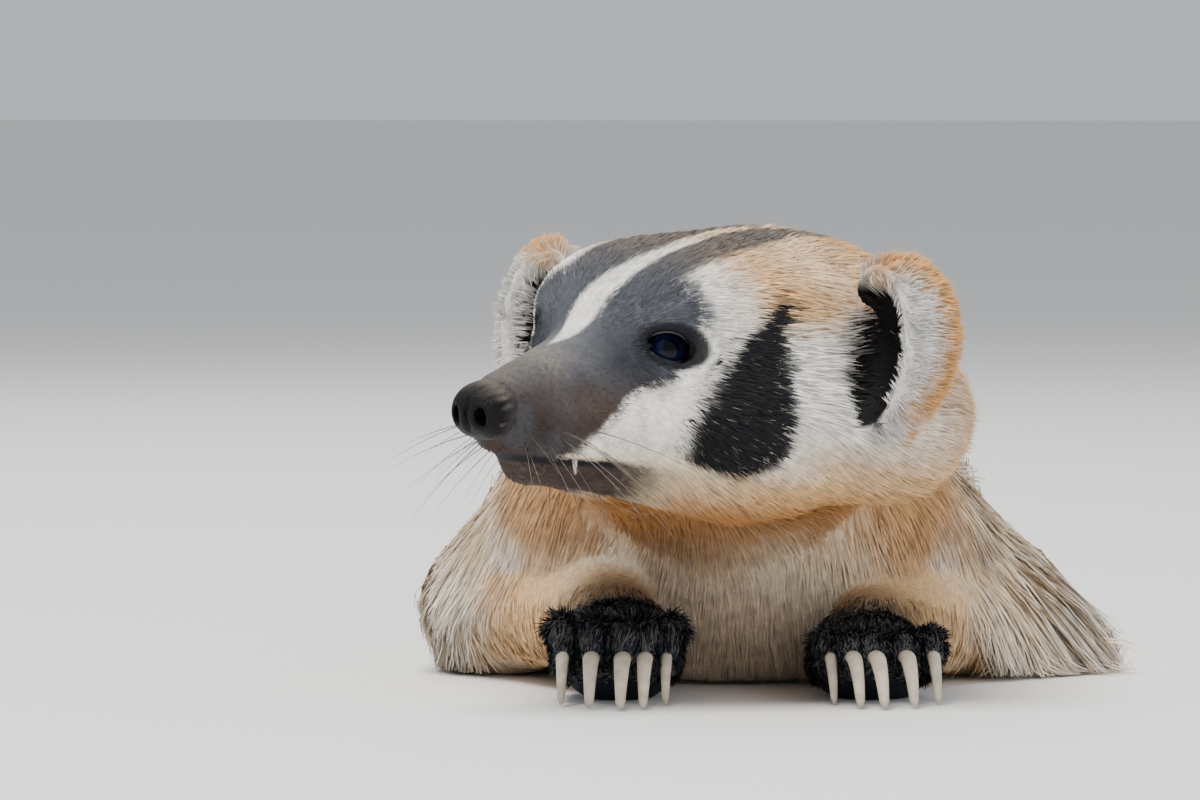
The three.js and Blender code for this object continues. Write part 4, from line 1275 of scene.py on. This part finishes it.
def make_whiskers(material):
    draw = np.random.default_rng(5)
    hairs = []  # place, heading and length
    for side in SIDES.values():
        for row in range(3):
            for n in range(5):
                place = [92 - 5 * n - 1.5 * row, (8.5 + 1.7 * n) * side, -17.5 - 2.6 * row]
                heading = [0.45 - 0.25 * n, (1.0 + 0.1 * n) * side, -0.25 - 0.25 * row]
                hairs.append((place, heading, 24 + 4 * n))
        for n in range(3):
            hairs.append(([52 - 3 * n, (15 + 2 * n) * side, 15], [0.2, 0.4 * side, 1.0], 16 - 2 * n))
        for n in range(5):
            place = [84 - 8 * n, (4 + 1.5 * n) * side, -33 + 0.5 * n]
            hairs.append((place, [0.3 - 0.15 * n, 0.35 * side, -1.0], 13 + 2 * n))
    field = in_head(deeper(face, FACE_DEPTH))
    points, faces, colours = [], [], []
    steps, sides = 7, 4
    for start, heading, length in hairs:
        root = head_point(np.array(start) + draw.normal(0, 0.5, 3))
        direction = head_direction(np.array(heading) + draw.normal(0, 0.12, 3))
        for _ in range(12):
            root = root - direction * float(field(np.float32(root[None]))[0]) * 0.7
        sideways = unit(np.cross(direction, [0.3, 0.2, 1.0]))
        up = np.cross(sideways, direction)
        faces += tube_faces(steps, sides, len(points))
        size = length * draw.uniform(0.75, 1.2)
        for i in range(steps):
            s = i / (steps - 1)
            centre = root + direction * (size * s - 1.5) + np.array([0, 0, -0.18]) * size * s * s
            half = 0.17 * (1 - 0.8 * s)
            for j in range(sides):
                a = 2 * math.pi * j / sides
                points.append(centre + sideways * half * math.cos(a) + up * half * math.sin(a))
            colours += [mix(WHISKER_ROOT, WHISKER_TIP, s)] * sides

    def uv_of(c):
        whisker, row, turn = c // (steps * sides), (c // sides) % steps, c % sides
        return (whisker + 0.1 + 0.2 * turn) / len(hairs), 0.02 + 0.96 * row / steps

    add_tubes("whiskers", points, faces, colours, uv_of, "face_coat", material)


# Floor and light

FLOOR_HALF = 14000.0


def make_floor():
    """A pale level floor that is open on every side."""
    square = np.array([[-1, -1, 0], [1, -1, 0], [1, 1, 0], [-1, 1, 0]])
    obj = new_mesh("floor", square * FLOOR_HALF, np.arange(4), [4])
    obj.data.materials.append(plain_material("pale_floor", (0.8, 0.79, 0.77), 0.9))


def make_light(name, place_mm, aim_mm, size, power, colour):
    data = bpy.data.lights.new(name, "AREA")
    data.shape = "DISK"
    data.size = size
    data.energy = power
    data.color = colour
    obj = bpy.data.objects.new(name, data)
    obj.location = Vector(place_mm) * MM
    obj.rotation_euler = (Vector(aim_mm) - Vector(place_mm)).to_track_quat("-Z", "Y").to_euler()
    bpy.context.scene.collection.objects.link(obj)
    return obj


def make_lights():
    world = bpy.data.worlds.new("studio")
    world.use_nodes = True
    world.node_tree.nodes["Background"].inputs["Color"].default_value = (0.90, 0.94, 1.0, 1)
    world.node_tree.nodes["Background"].inputs["Strength"].default_value = 0.62
    bpy.context.scene.world = world
    make_light("key", (700, -350, 1700), (120, 0, 60), 1.1, 46, (1.0, 0.98, 0.95))
    make_light("fill", (1400, 1300, 700), (100, 0, 60), 1.6, 12, (0.92, 0.96, 1.0)).visible_glossy = False
    make_light("back", (-1300, -300, 1500), (-50, 0, 60), 1.5, 26, (1.0, 0.98, 0.96)).visible_glossy = False


make_camera()
hide = painted_material("skin", 0.7, 0.5, 700, 0.15)
short_fur = painted_material("short_fur", 0.7, 0, 260, 0.2)
long_fur = painted_material("long_fur", 0.65, 0, 160, 0.25)
nose_leather = painted_material("nose_leather", 0.5, 0.9, 1400, 0.18)
wet_rim = painted_material("wet_rim", 0.22, 0.2, 900, 0.6)
wet_eye = painted_material("wet_eye", 0.04, 0, 900, 0.16)
surface = make_skin(hide)
grow_coat(surface, {"coat_short": ("face_coat", short_fur), "coat_long": ("coat", long_fur)})
for side_name in SIDES:
    make_eye(side_name, wet_eye)
    lid_rim(side_name, wet_rim)
make_nose(nose_leather)
make_all_claws()
finish_tooth()
make_whiskers(wet_rim)
make_floor()
make_lights()
